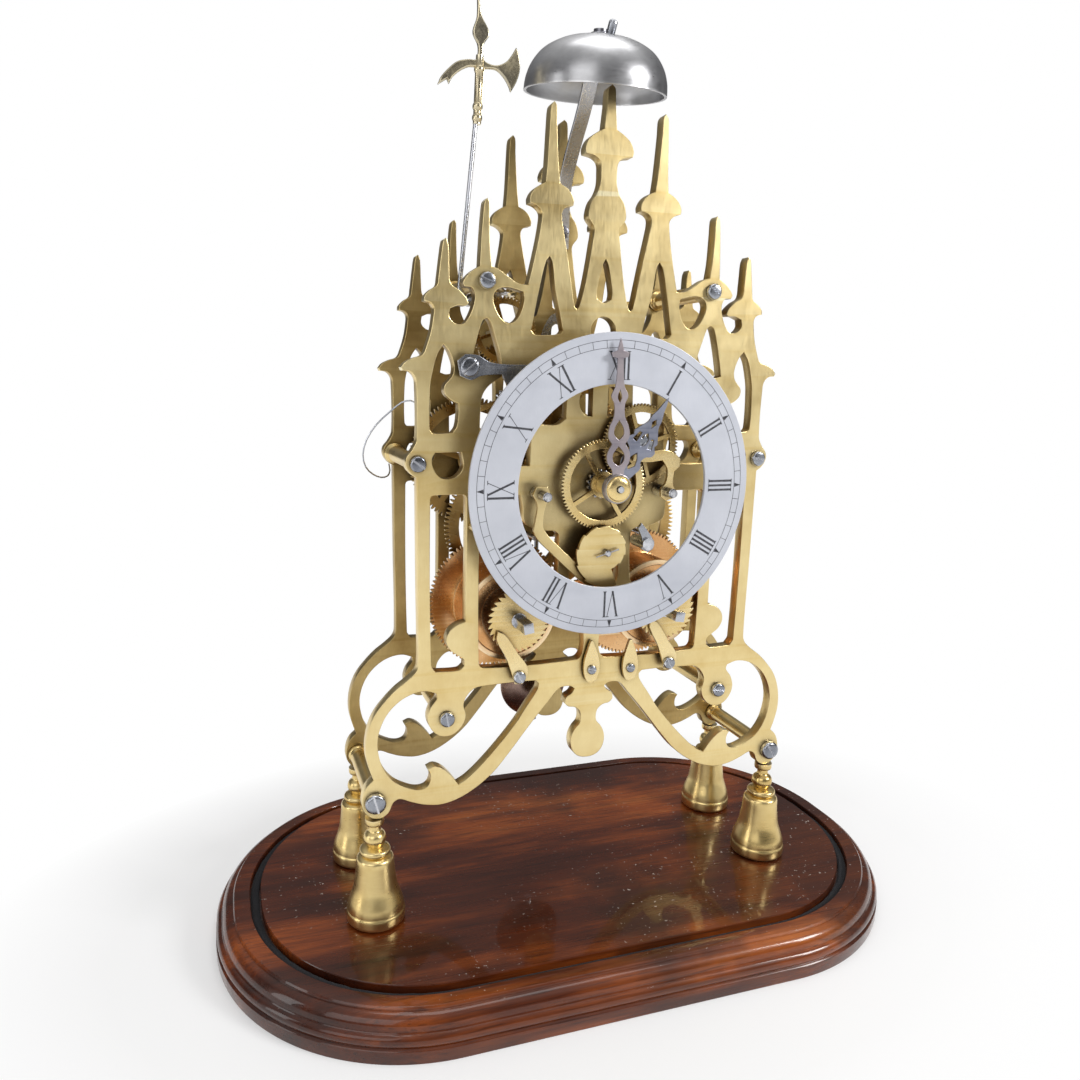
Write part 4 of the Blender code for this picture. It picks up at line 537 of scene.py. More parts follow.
def metal(name, pale, deep, rough_low, rough_high, grain=(1.0, 1.0, 1.0), grain_scale=900.0,
          metallic=1.0, patch_scale=38.0, edge=None, painted_recess_shade=None):
    """Metal with cloudy tarnish, fine grain, sharp edges brightened as rubbed wear with a painted
    highlight, and recesses darkened with painted shade.
    """
    made, tree, shader = shader_nodes(name)
    patches = noise_field(tree, patch_scale, 5.0, 0.6)
    colour = ramp(tree, patches, ((0.34, deep), (0.62, pale)))
    fine = noise_field(tree, grain_scale, 3.0, 0.6, grain)
    colour = mixed(tree, spread(tree, fine, 0.0, 0.22, 0.35, 0.75), colour, deep)
    # Edge colour: rubbed wear with a painted highlight
    if edge:
        colour = mixed(tree, highlit_worn_edges(tree), colour, edge)
    # Painted shade: the colour darkens towards the recess colour where ambient occlusion finds nearby
    # surfaces
    if painted_recess_shade:
        shade_occlusion = tree.nodes.new("ShaderNodeAmbientOcclusion")
        shade_occlusion.samples = 6
        shade_occlusion.inputs["Distance"].default_value = painted_shade_reach
        painted_shade_share = spread(tree, shade_occlusion.outputs["AO"], 0.92, 0.0, 0.35, 0.92)
        colour = mixed(tree, painted_shade_share, colour, painted_recess_shade)
    tree.links.new(colour, shader.inputs["Base Color"])
    both = mixed(tree, 0.5, patches, fine)
    tree.links.new(spread(tree, both, rough_low, rough_high, 0.35, 0.65),
                   shader.inputs["Roughness"])
    shader.inputs["Metallic"].default_value = metallic
    bump(tree, shader, fine, 0.10, 0.00006)
    return made


def mahogany_finish():
    made, tree, shader = shader_nodes("mahogany")
    broad = noise_field(tree, 26.0, 6.0, 0.62, (0.16, 1.0, 1.0))
    streak = noise_field(tree, 210.0, 5.0, 0.65, (0.05, 1.0, 1.0))
    pores = noise_field(tree, 950.0, 2.0, 0.5, (0.035, 1.0, 1.0))
    cloud = noise_field(tree, 9.0, 4.0, 0.6)
    colour = ramp(tree, broad, ((0.32, (0.018, 0.0036, 0.0012)), (0.47, (0.085, 0.0160, 0.0030)),
                                (0.60, (0.250, 0.0560, 0.0085)), (0.75, (0.460, 0.135, 0.0230))))
    colour = mixed(tree, spread(tree, streak, 0.0, 0.65, 0.48, 0.68), colour,
                   (0.048, 0.0115, 0.0045))
    colour = mixed(tree, spread(tree, pores, 0.0, 0.55, 0.56, 0.70), colour,
                   (0.020, 0.0050, 0.0030))
    colour = mixed(tree, spread(tree, cloud, 0.0, 0.75, 0.50, 0.62), colour,
                   (0.030, 0.0080, 0.0035))
    specks = noise_field(tree, 560.0, 2.0, 0.5)
    where = noise_field(tree, 18.0, 2.0, 0.5)
    dust = tree.nodes.new("ShaderNodeMath")
    dust.operation = "MULTIPLY"
    tree.links.new(spread(tree, specks, 0.0, 1.0, 0.700, 0.73), dust.inputs[0])
    tree.links.new(spread(tree, where, 0.0, 0.75, 0.42, 0.62), dust.inputs[1])
    geometry = tree.nodes.new("ShaderNodeNewGeometry")
    apart = tree.nodes.new("ShaderNodeSeparateXYZ")
    tree.links.new(geometry.outputs["Normal"], apart.inputs["Vector"])
    upward = tree.nodes.new("ShaderNodeMath")
    upward.operation = "MULTIPLY"
    tree.links.new(spread(tree, apart.outputs["Z"], 0.0, 1.0, 0.90, 0.99), upward.inputs[0])
    tree.links.new(dust.outputs["Value"], upward.inputs[1])
    colour = mixed(tree, upward.outputs["Value"], colour, (0.62, 0.55, 0.50))
    tree.links.new(colour, shader.inputs["Base Color"])
    tree.links.new(spread(tree, streak, 0.22, 0.36), shader.inputs["Roughness"])
    shader.inputs["Specular IOR Level"].default_value = 0.25
    shader.inputs["Coat Weight"].default_value = 0.60
    shader.inputs["Coat Roughness"].default_value = 0.05
    shader.inputs["Coat IOR"].default_value = 1.45
    bump(tree, shader, pores, 0.12, 0.00008)
    return made


def chenille_finish():
    made, tree, shader = shader_nodes("chenille")
    fluff = noise_field(tree, 1400.0, 4.0, 0.7)
    tree.links.new(ramp(tree, fluff, ((0.35, (0.002, 0.002, 0.003)), (0.72, (0.016, 0.016, 0.021)))),
                   shader.inputs["Base Color"])
    shader.inputs["Roughness"].default_value = 0.95
    shader.inputs["Sheen Weight"].default_value = 0.05
    bump(tree, shader, fluff, 0.9, 0.0006)
    return made


def ink_finish():
    made, tree, shader = shader_nodes("dial_ink")
    wear = noise_field(tree, 700.0, 3.0, 0.6)
    tree.links.new(ramp(tree, wear, ((0.40, (0.035, 0.035, 0.042)), (0.75, (0.110, 0.110, 0.125)))),
                   shader.inputs["Base Color"])
    tree.links.new(spread(tree, wear, 0.45, 0.7), shader.inputs["Roughness"])
    return made


# The recess colours below are painted shade that darkens the metals in their recesses
finishes = {
    "plate_brass": metal("plate_brass", (0.88, 0.700, 0.335), (0.72, 0.525, 0.205), 0.28, 0.40,
                         (1.0, 1.0, 0.12), 1500.0, edge=(0.96, 0.85, 0.54),
                         painted_recess_shade=(0.13, 0.070, 0.022)),
    # Rear plate and cock brass: a darker copy of the plate brass, painted shade for its place behind
    # the works
    "shaded_rear_brass": metal("shaded_rear_brass", (0.58, 0.430, 0.180), (0.34, 0.225, 0.080), 0.30, 0.46,
                        (1.0, 1.0, 0.12), 1500.0, edge=(0.80, 0.66, 0.34),
                        painted_recess_shade=(0.055, 0.030, 0.010)),
    # Train wheel brass: a darker copy of the wheel brass, painted shade for wheels between the plates
    "shaded_train_brass": metal("shaded_train_brass", (0.60, 0.400, 0.150), (0.34, 0.200, 0.065), 0.22, 0.38,
                         edge=(0.86, 0.70, 0.40), painted_recess_shade=(0.055, 0.028, 0.010)),
    "wheel_brass": metal("wheel_brass", (0.90, 0.710, 0.350), (0.72, 0.505, 0.190), 0.20, 0.34,
                         edge=(0.97, 0.87, 0.58), painted_recess_shade=(0.15, 0.080, 0.025)),
    "turned_brass": metal("turned_brass", (0.83, 0.650, 0.300), (0.66, 0.470, 0.180), 0.25, 0.35,
                          (1.0, 1.0, 14.0), 160.0, edge=(0.92, 0.80, 0.50)),
    # Barrel brass: its own coppery tone, darkened a little as painted shade for barrels between the
    # plates
    "barrel_brass": metal("barrel_brass", (0.83, 0.520, 0.260), (0.64, 0.330, 0.130), 0.16, 0.30,
                          edge=(0.92, 0.72, 0.46)),
    "steel": metal("steel", (0.38, 0.40, 0.44), (0.19, 0.20, 0.23), 0.20, 0.34,
                   edge=(0.70, 0.71, 0.75)),
    "dark_steel": metal("dark_steel", (0.30, 0.30, 0.33), (0.13, 0.13, 0.15), 0.28, 0.42,
                        edge=(0.55, 0.55, 0.58)),
    "grey_steel": metal("grey_steel", (0.30, 0.32, 0.40), (0.16, 0.17, 0.23), 0.30, 0.42,
                        edge=(0.50, 0.50, 0.56)),
    "minute_steel": metal("minute_steel", (0.46, 0.40, 0.42), (0.27, 0.24, 0.28), 0.30, 0.42,
                          edge=(0.60, 0.54, 0.54)),
    "bell_metal": metal("bell_metal", (0.52, 0.52, 0.53), (0.36, 0.36, 0.37), 0.27, 0.40,
                        (1.0, 1.0, 9.0), 220.0, edge=(0.74, 0.74, 0.75)),
    "silvered": metal("silvered", (0.54, 0.56, 0.62), (0.46, 0.48, 0.54), 0.42, 0.56,
                      (1.0, 1.0, 0.10), 1700.0, metallic=0.30, edge=(0.75, 0.76, 0.80)),
    "stud_steel": metal("stud_steel", (0.24, 0.24, 0.27), (0.09, 0.09, 0.11), 0.18, 0.30,
                        edge=(0.60, 0.61, 0.64)),
    "standard_steel": metal("standard_steel", (0.30, 0.30, 0.32), (0.12, 0.115, 0.12), 0.22, 0.36,
                            patch_scale=24.0, edge=(0.62, 0.62, 0.64)),
    "slot_shadow": metal("slot_shadow", (0.030, 0.028, 0.028), (0.010, 0.010, 0.011), 0.6, 0.8,
                         metallic=0.0),
    "mahogany": mahogany_finish(),
    "chenille": chenille_finish(),
    "bob_brass": metal("bob_brass", (0.34, 0.235, 0.195), (0.16, 0.105, 0.090), 0.22, 0.34,
                       patch_scale=60.0, edge=(0.55, 0.42, 0.34)),
    "halberd_brass": metal("halberd_brass", (0.62, 0.53, 0.34), (0.36, 0.32, 0.24), 0.20, 0.34,
                           patch_scale=110.0, edge=(0.85, 0.78, 0.58)),
    "dial_ink": ink_finish()}


# Building


def settle(made, finish, nodes=(), body=None, smooth=35):
    """Give a piece its finish and its body, and hide the CAD nodes that it stands for."""
    if made.type == "MESH":
        if not made.data.materials:
            made.data.materials.append(finishes[finish])
        if smooth:
            made.data.shade_smooth()
            made.data.set_sharp_from_angle(angle=math.radians(smooth))
    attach(made, body or body_of_node[nodes[0]])
    if nodes:
        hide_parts(*nodes)
    return made


def linked(name, data):
    made = bpy.data.objects.new(name, data)
    bpy.context.scene.collection.objects.link(made)
    return made


def mesh_of(name, mesh_data):
    """A mesh from a bmesh, which is freed."""
    data = bpy.data.meshes.new(name)
    mesh_data.to_mesh(data)
    mesh_data.free()
    return data


def add_band(mesh_data, low, high):
    """Faces between two rings of as many vertices."""
    for k in range(len(low)):
        after = (k + 1) % len(low)
        mesh_data.faces.new((low[k], low[after], high[after], high[k]))


def skin(mesh_data, rings, closed=False):
    """Bands from ring to ring, and then back to the first one or with both ends capped."""
    for low, high in zip(rings, rings[1:]):
        add_band(mesh_data, low, high)
    if closed:
        add_band(mesh_data, rings[-1], rings[0])
    else:
        mesh_data.faces.new(rings[0])
        mesh_data.faces.new(rings[-1])
    bmesh.ops.recalc_face_normals(mesh_data, faces=mesh_data.faces)


def block(size, place, lean, round_edge=0.0):
    """A box turned about the depth axis, with rounded edges where asked."""
    mesh_data = bmesh.new()
    bmesh.ops.create_cube(mesh_data, size=1.0)
    bmesh.ops.scale(mesh_data, vec=size, verts=mesh_data.verts)
    if round_edge:
        bmesh.ops.bevel(mesh_data, geom=mesh_data.edges[:], offset=round_edge, segments=2,
                        profile=0.5, affect="EDGES")
    bmesh.ops.rotate(mesh_data, matrix=Matrix.Rotation(lean, 3, "Y"), verts=mesh_data.verts)
    bmesh.ops.translate(mesh_data, vec=place, verts=mesh_data.verts)
    return mesh_data


def box_piece(name, size, place, finish, body, lean=0.0, round_edge=edge_round):
    made = block(size, place, lean, min(round_edge, min(size) * 0.3))
    return settle(linked(name, mesh_of(name, made)), finish, body=body)


def scaled(shares, centre=(0.0, 0.0), side=1.0, lean=0.0):
    turn = math.radians(lean)
    points = []
    for across, up in shares:
        across = across * side
        moved = (across * math.cos(turn) + up * math.sin(turn),
                 up * math.cos(turn) - across * math.sin(turn))
        points.append(((centre[0] + moved[0]) * grid, (centre[1] + moved[1]) * grid))
    return points


def mirrored(half):
    return list(half) + [(-across, up) for across, up in reversed(half) if across > 0]


def ring_points(centre, radius, count, turn=0.0):
    across, up = centre
    return [(across + radius * math.cos(turn + 2 * math.pi * k / count),
             up + radius * math.sin(turn + 2 * math.pi * k / count)) for k in range(count)]


def eased(points, step=plate_step, corner=52.0):
    """A smooth closed outline through the points that keeps their sharp corners."""
    places = [np.array(p) for p in points]
    count = len(places)
    keep = []
    for k in range(count):
        a = places[k] - places[k - 1]
        b = places[(k + 1) % count] - places[k]
        cross = a[0] * b[1] - a[1] * b[0]
        keep.append(abs(math.degrees(math.atan2(cross, float(a @ b)))) > corner)
    result = []
    for k in range(count):
        here, there = places[k], places[(k + 1) % count]
        run = there - here
        length = math.hypot(*run)
        if length == 0:
            continue
        before = places[k - 1]
        after = places[(k + 2) % count]
        start = run if keep[k] else (there - before) / math.hypot(*(there - before)) * length
        end = (run if keep[(k + 1) % count]
               else (after - here) / max(math.hypot(*(after - here)), 1e-9) * length)
        parts = max(1, min(12, int(length / step)))
        for part in range(parts):
            t = part / parts
            result.append(tuple((2 * t**3 - 3 * t**2 + 1) * here + (t**3 - 2 * t**2 + t) * start
                                + (3 * t**2 - 2 * t**3) * there + (t**3 - t**2) * end))
    return result


def flat_piece(name, loops, near, far, finish, nodes=(), body=None, round_edge=edge_round,
               smooth=35):
    """A flat plate with openings and softly rounded edges."""
    curve = bpy.data.curves.new(name, "CURVE")
    curve.dimensions = "2D"
    curve.fill_mode = "BOTH"
    curve.bevel_depth = round_edge
    curve.bevel_resolution = 1
    curve.offset = -round_edge
    curve.extrude = (far - near) / 2 - round_edge
    for loop in loops:
        line = curve.splines.new("POLY")
        line.points.add(len(loop) - 1)
        line.points.foreach_set("co", [c for a, u in loop for c in (a, u, 0.0, 1.0)])
        line.use_cyclic_u = True
    holder = linked(name + "_curve", curve)
    graph = bpy.context.evaluated_depsgraph_get()
    data = bpy.data.meshes.new_from_object(holder.evaluated_get(graph))
    bpy.data.objects.remove(holder)
    bpy.data.curves.remove(curve)
    data.transform(Matrix.Translation(spot((0, 0), (near + far) / 2))
                   @ Matrix.Rotation(math.pi / 2, 4, "X"))
    data.materials.clear()
    made = linked(name, data)
    return settle(made, finish, nodes, body, smooth)


def lathe(name, profile, origin, axis, finish, nodes=(), body=None, segments=48, smooth=35):
    """A round piece from (radius, distance along the axis) pairs."""
    mesh_data = bmesh.new()
    rows = []
    for radius, along in profile:
        around = ring_points((0, 0), radius, segments) if radius else ((0, 0),)
        rows.append([mesh_data.verts.new((x, y, along)) for x, y in around])
    pairs = list(zip(rows, rows[1:]))
    if profile[0][0] != 0:
        pairs.append((rows[-1], rows[0]))
    for low, high in pairs:
        if len(low) > 1 and len(high) > 1:
            add_band(mesh_data, low, high)
            continue
        for k in range(segments):
            after = (k + 1) % segments
            if len(high) > 1:
                mesh_data.faces.new((low[0], high[after], high[k]))
            elif len(low) > 1:
                mesh_data.faces.new((low[k], low[after], high[0]))
    bmesh.ops.recalc_face_normals(mesh_data, faces=mesh_data.faces)
    aim = Vector((0, 0, 1)).rotation_difference(Vector(axis)).to_matrix().to_4x4()
    bmesh.ops.transform(mesh_data, matrix=Matrix.Translation(origin) @ aim, verts=mesh_data.verts)
    return settle(linked(name, mesh_of(name, mesh_data)), finish, nodes, body, smooth)


def rounded(profile, corner=turned_round, steps=2):
    """Ease the corners of a lathe profile, leaving points on the axis alone."""
    places = [np.array(p, float) for p in profile]
    result = [tuple(places[0])]
    for before, here, after in zip(places, places[1:], places[2:]):
        a, b = before - here, after - here
        la, lb = math.hypot(*a), math.hypot(*b)
        if min(la, lb) < 1e-9:
            continue
        cut = min(corner, la * 0.45, lb * 0.45)
        start, end = here + a / la * cut, here + b / lb * cut
        for part in range(steps + 1):
            t = part / steps
            result.append(tuple((1 - t) ** 2 * start + 2 * t * (1 - t) * here + t * t * end))
    result.append(tuple(places[-1]))
    return [(max(r, 0.0), z) for r, z in result]


def flowing(points, parts=4):
    """A smooth open profile through the given pairs."""
    places = [np.array(p, float) for p in points]
    result = []
    for k in range(len(places) - 1):
        a, b, c, d = (places[max(k - 1, 0)], places[k], places[k + 1],
                      places[min(k + 2, len(places) - 1)])
        for part in range(parts):
            t = part / parts
            result.append(tuple(0.5 * (2 * b + (c - a) * t + (2 * a - 5 * b + 4 * c - d) * t * t
                                       + (3 * b - a - 3 * c + d) * t ** 3)))
    result.append(tuple(places[-1]))
    return result


def gear_loop(radius, teeth, height, lean=0.0):
    """Teeth with narrow flat tips and rounded flanks; lean makes them saw-like."""
    pitch = 2 * math.pi / teeth
    root = radius - height
    points = []
    for k in range(teeth):
        start = k * pitch
        for share, reach in ((0.00, root), (0.20, root), (0.34, root + height * 0.65),
                             (0.46 + lean, radius), (0.64 + lean, radius),
                             (0.82 + lean * 0.6, root + height * 0.60)):
            angle = start + pitch * share
            points.append((reach * math.cos(angle), reach * math.sin(angle)))
    return points


def saw_loop(radius, teeth, height):
    pitch = 2 * math.pi / teeth
    points = []
    for k in range(teeth):
        for share, reach in ((0.00, radius - height), (0.55, radius - height * 0.30),
                             (0.86, radius), (0.96, radius)):
            angle = k * pitch + pitch * share
            points.append((reach * math.cos(angle), reach * math.sin(angle)))
    return points


def arm_openings(radius, hub, arms, arm_width, turn=0.0):
    """Openings between straight arms, with arcs at the rim and at the hub."""
    loops = []
    for k in range(arms):
        start = turn + 2 * math.pi * k / arms
        end = turn + 2 * math.pi * (k + 1) / arms
        loop = []
        for reach, way in ((radius, 1), (hub, -1)):
            trim = math.asin(min(0.9, arm_width / 2 / reach))
            steps = 8
            angles = [start + trim + (end - start - 2 * trim) * step / steps
                      for step in range(steps + 1)]
            loop += [(reach * math.cos(a), reach * math.sin(a)) for a in angles[::way]]
        loops.append(loop)
    return loops


def moved(loops, shares):
    across, up = shares
    return [[(a + across * grid, u + up * grid) for a, u in loop] for loop in loops]


def shown_wheel(name, node, place, depth, radius, teeth, arms, bore=0.0, hub=None,
                finish="wheel_brass", height_share=0.065, turn=0.3, lean=0.0, nodes=None):
    height = radius * height_share
    loops = [gear_loop(radius, teeth, height, lean)]
    if bore:
        loops.append(ring_points((0, 0), bore, 32))
    if arms:
        loops += arm_openings((radius - height) * 0.84, hub or radius * 0.2, arms,
                              radius * 0.10, turn)
    return flat_piece(name, moved(loops, place), depth, depth + wheel_thickness, finish,
                      nodes or (node,), round_edge=small_round)


def arbor(name, place, steps, finish, body, segments=24):
    """A round arbor from (radius, from depth, to depth) stretches."""
    profile = [(0.0, steps[0][1])]
    for radius, start, end in steps:
        profile += [(radius, start), (radius, end)]
    profile.append((0.0, steps[-1][2]))
    return lathe(name, rounded(profile, small_round, 1), spot(place, 0), (0, 1, 0), finish,
                 body=body, segments=segments)


def leaves(name, place, mesh_depth, radius, body):
    loops = moved([gear_loop(radius, pinion_leaves, radius * 0.34)], place)
    near = mesh_depth - pinion_overhang
    far = mesh_depth + wheel_thickness + pinion_overhang
    return flat_piece(name, loops, near, far, "steel", body=body, round_edge=small_round)


def train(node, place, depth, radius, arms, mesh_depth, height_share=0.065, lean=0.0,
          leaf_radius=None):
    shown_wheel(node + "_shown", node, place, depth, radius, shown_teeth[node], arms,
                hub=max(radius * 0.2, pinion_radius * 1.1), finish="shaded_train_brass",
                height_share=height_share, lean=lean)
    body = body_of_node[node]
    arbor(node + "_arbor", place, [(train_arbor_radius, inside_near, inside_far)], "steel", body,
          16)
    leaves(node + "_leaves", place, mesh_depth, leaf_radius or pinion_radius, body)


# Wooden base


def base_outline(out_share, corner_steps_shown=40):
    half_length = panel_half_length + base_growth_length * out_share
    half_width = panel_half_width + base_growth_width * out_share
    corner = panel_corner + base_growth_width * out_share
    points = []
    for quarter in range(4):
        sign_x = (1, -1, -1, 1)[quarter]
        sign_y = (1, 1, -1, -1)[quarter]
        for step in range(corner_steps_shown + 1):
            angle = math.pi / 2 * (quarter + step / corner_steps_shown)
            points.append((sign_x * (half_length - corner) + corner * math.cos(angle),
                           sign_y * (half_width - corner) + corner * math.sin(angle)))
    return points


def lofted(name, rows, finish, node, closed=False, smooth=35):
    """Rings of the base outline joined in order; rows are (out share, height)."""
    mesh_data = bmesh.new()
    rings = [[mesh_data.verts.new((x, y, height)) for x, y in base_outline(out)]
             for out, height in rows]
    skin(mesh_data, rings, closed)
    return settle(linked(name, mesh_of(name, mesh_data)), finish, (node,), smooth=smooth)


edge_curve_shares = (
    ((0.00, 1.00), (0.035, 1.00)), ((0.045, 0.985), (0.050, 0.95)), ((0.050, 0.78),),
    ((0.27, 0.78),), ((0.27, 0.94),), ((0.28, 0.955), (0.57, 0.955)),
    ((0.60, 0.945), (0.625, 0.915), (0.63, 0.87)),
    ((0.66, 0.862), (0.72, 0.845), (0.78, 0.80), (0.83, 0.73), (0.858, 0.65), (0.86, 0.585)),
    ((0.875, 0.565), (0.915, 0.555), (0.955, 0.52), (0.982, 0.46), (0.985, 0.40),
     (0.965, 0.345), (0.945, 0.315)),
    ((0.985, 0.295), (1.00, 0.275)), ((1.00, 0.02),), ((0.994, 0.00),))


def build_base():
    rows = [(out, up * base_height) for stretch in edge_curve_shares for out, up in stretch]
    lofted("base_shown", rows, "mahogany", "wood_base", smooth=28)
    clear_in = gap / base_growth_width
    low = base_height * groove_floor_share + gap
    high = low + base_height * (lining_top_share - groove_floor_share) * lining_fill
    inner = groove_inner_share + clear_in * 2
    outer = groove_outer_share - clear_in
    rows = []
    steps = 10
    for step in range(steps + 1):
        t = step / steps
        rows.append((inner + (outer - inner) * (0.5 - 0.5 * math.cos(math.pi * t)),
                     low + (high - low) * (0.35 + 0.65 * math.sin(math.pi * t))))
    rows += [(outer, low), (inner, low)]
    made = lofted("lining_shown", rows, "chenille", "groove_lining", closed=True, smooth=60)
    rng = np.random.default_rng(7)
    for vertex in made.data.vertices:
        if vertex.co.z > low + gap:
            vertex.co.z = min(high, vertex.co.z + rng.uniform(fluff_low, fluff_high))


# Plates


def opening_loops():
    loops = [eased(scaled(mirrored(plate_edge_shares)))]
    for opening in middle_openings_shares:
        loops.append(eased(scaled(mirrored(opening))))
    for opening in paired_openings_shares:
        loops.append(eased(scaled(opening)))
        loops.append(eased(scaled(opening, side=-1.0)))
    return loops


def both_sides(shares):
    across, up = shares
    return (("left", (-across, up)), ("right", (across, up)))


def hole_loops(radius, places):
    return [loop for place in places for loop in moved([ring_points((0, 0), radius, 24)], place)]


def build_plates():
    pillar_places = [place for shares in pillar_spots_shares.values()
                     for _, place in both_sides(shares)]
    barrel_places = [place for _, place in both_sides(barrel_spot_shares)]
    front = opening_loops()
    front += hole_loops(cannon_radius + gap, [(0, 0)])
    front += hole_loops(winding_arbor_radius + gap, barrel_places)
    front += hole_loops(screw_shank_radius + gap, pillar_places)
    front += hole_loops(dial_tenon_radius + gap, dial_post_spots_shares)
    flat_piece("front_plate_shown", front, 0, plate_thickness, "plate_brass", ("front_plate",))
    near = plate_thickness + plate_clearance
    rear = opening_loops() + hole_loops(tenon_radius + gap, pillar_places)
    rear += hole_loops(train_arbor_radius + gap, [pallet_arbor_spot_shares])
    flat_piece("rear_plate_shown", rear, near, near + plate_thickness, "shaded_rear_brass",
               ("rear_plate",))


def slotted_head(name, place, seat, radius, height, shank, finish, nodes=(), body=None, turn=70.0,
                 slot_width=screw_slot_width):
    """A screw with a domed head cut by a real slot."""
    dome = flowing([(radius, -height * 0.55), (radius * 0.86, -height * 0.86),
                    (radius * 0.50, -height * 0.98), (0, -height)], 3)
    profile = [(0, shank), (screw_shank_radius, shank), (screw_shank_radius, 0), (radius, 0)]
    made = lathe(name, profile + dome, spot(place, seat), (0, 1, 0), finish, nodes, body, 32)
    cutter = block((radius * 3, height * 0.9, slot_width), spot(place, seat - height),
                   math.radians(turn))
    data = mesh_of(name + "_cut", cutter)
    data.materials.append(finishes["slot_shadow"])
    tool = linked(name + "_cut", data)
    step = made.modifiers.new("slot", "BOOLEAN")
    step.operation = "DIFFERENCE"
    step.object = tool
    graph = bpy.context.evaluated_depsgraph_get()
    result = bpy.data.meshes.new_from_object(made.evaluated_get(graph))
    made.modifiers.clear()
    made.data = result
    bpy.data.objects.remove(tool)
    made.data.shade_smooth()
    made.data.set_sharp_from_angle(angle=math.radians(30))
    return made


screw_turns = {"top": (20.0, 35.0), "middle": (35.0, 10.0), "low": (80.0, 5.0),
               "foot": (75.0, 60.0)}


def build_pillars():
    for level, shares in pillar_spots_shares.items():
        is_foot = level == "foot"
        thick = foot_pillar_radius if is_foot else pillar_radius
        head_radius = foot_screw_head_radius if is_foot else screw_head_radius
        head_height = foot_screw_head_height if is_foot else screw_head_height
        for number, (side, place) in enumerate(both_sides(shares)):
            length = plate_clearance - 2 * gap
            through = length + 2 * gap + plate_thickness
            wide = pillar_collar_radius
            long = pillar_collar_length
            profile = [(0, 0), (wide, 0), (wide, long * 0.35), (wide * 0.84, long * 0.55),
                       (wide * 0.92, long * 0.75), (thick, long), (thick, length - long),
                       (wide * 0.92, length - long * 0.75), (wide * 0.84, length - long * 0.55),
                       (wide, length - long * 0.35), (wide, length), (tenon_radius, length),
                       (tenon_radius, through), (rivet_radius, through + gap),
                       (rivet_radius * 0.8, through + rivet_height * 0.8),
                       (0, through + rivet_height)]
            name = f"{level}_pillar_{side}"
            lathe(name + "_shown", rounded(profile), spot(place, plate_thickness + gap),
                  (0, 1, 0), "turned_brass", (name,), segments=40)
            name = f"{level}_screw_{side}"
            slotted_head(name + "_shown", place, -gap, head_radius, head_height,
                         plate_thickness + gap, "steel", (name,),
                         turn=screw_turns[level][number])


foot_curve_shares = (
    ((0.90, 0.000), (0.985, 0.018), (1.00, 0.055), (0.995, 0.100), (0.965, 0.118)),
    ((0.965, 0.135), (0.925, 0.190), (0.830, 0.262), (0.745, 0.335), (0.690, 0.430),
     (0.655, 0.520), (0.635, 0.590), (0.60, 0.622), (0.50, 0.640)),
    ((0.42, 0.648), (0.505, 0.660), (0.525, 0.682), (0.50, 0.704), (0.40, 0.716)),
    ((0.27, 0.728), (0.33, 0.752), (0.375, 0.785), (0.375, 0.815), (0.33, 0.850), (0.22, 0.875)),
    ((0.20, 0.890), (0.20, 0.925)), ((0.30, 0.940), (0.32, 0.955), (0.32, 1.000)))


def build_feet():
    top = dial_centre_height + tab_bottom_share * grid - gap
    bottom = base_height + gap
    height = top - bottom
    profile = [(0.0, 0.0)]
    for stretch in foot_curve_shares:
        points = [(foot_flare_radius * r, height * z) for r, z in stretch]
        profile += flowing(points, 3) if len(points) > 2 else points
    profile.append((0.0, height))
    across = pillar_spots_shares["foot"][0]
    for end, depth in (("front", plate_thickness / 2),
                       ("rear", plate_thickness * 1.5 + plate_clearance)):
        for side, sign in (("left", -1), ("right", 1)):
            place = Vector((sign * across * grid, depth - front_face_setback, bottom))
            lathe(f"foot_{end}_{side}_shown", profile, place, (0, 0, 1), "turned_brass",
                  (f"foot_{end}_{side}",), segments=56, smooth=40)


# Dial


def dial_bar(angle, inner, outer, across_inner, across_outer, half_inner, half_outer):
    """Four corners of a stroke that runs outward at an angle, offset sideways."""
    out = (math.sin(angle), math.cos(angle))
    side = (math.cos(angle), -math.sin(angle))

    def corner(reach, across):
        return (out[0] * reach + side[0] * across, out[1] * reach + side[1] * across)

    return [corner(inner, across_inner - half_inner), corner(inner, across_inner + half_inner),
            corner(outer, across_outer + half_outer), corner(outer, across_outer - half_outer)]


letter_width_share = {"I": 0.17, "V": 0.46, "X": 0.50}


def numeral_bars(name, angle):
    """Serifed strokes of a numeral, written clockwise with its feet to the centre."""
    low, high = numeral_inner_radius, numeral_outer_radius
    height = high - low
    widths = [letter_width_share[letter] * height for letter in name]
    place = -sum(widths) / 2
    thick, thin = height * 0.040, height * 0.012
    serif = height * 0.012
    bars = []
    for letter, width in zip(name, widths):
        middle = place + width / 2
        reach = width / 2 - height * 0.03
        if letter == "I":
            bars.append(dial_bar(angle, low, high, middle, middle, thick, thick))
            ends = ((low, middle), (high, middle))
        elif letter == "V":
            bars.append(dial_bar(angle, low, high, middle, middle - reach, thick, thick))
            bars.append(dial_bar(angle, low, high, middle, middle + reach, thin, thin))
            ends = ((high, middle - reach), (high, middle + reach))
        else:
            bars.append(dial_bar(angle, low, high, middle + reach, middle - reach, thick, thick))
            bars.append(dial_bar(angle, low, high, middle - reach, middle + reach, thin, thin))
            ends = ((low, middle - reach), (low, middle + reach), (high, middle - reach),
                    (high, middle + reach))
        for end, across in ends:
            inward = serif * 2 if end == low else -serif * 2
            half = height * 0.075
            bars.append(dial_bar(angle, end, end + inward, across, across, half, half))
        place += width
    return bars


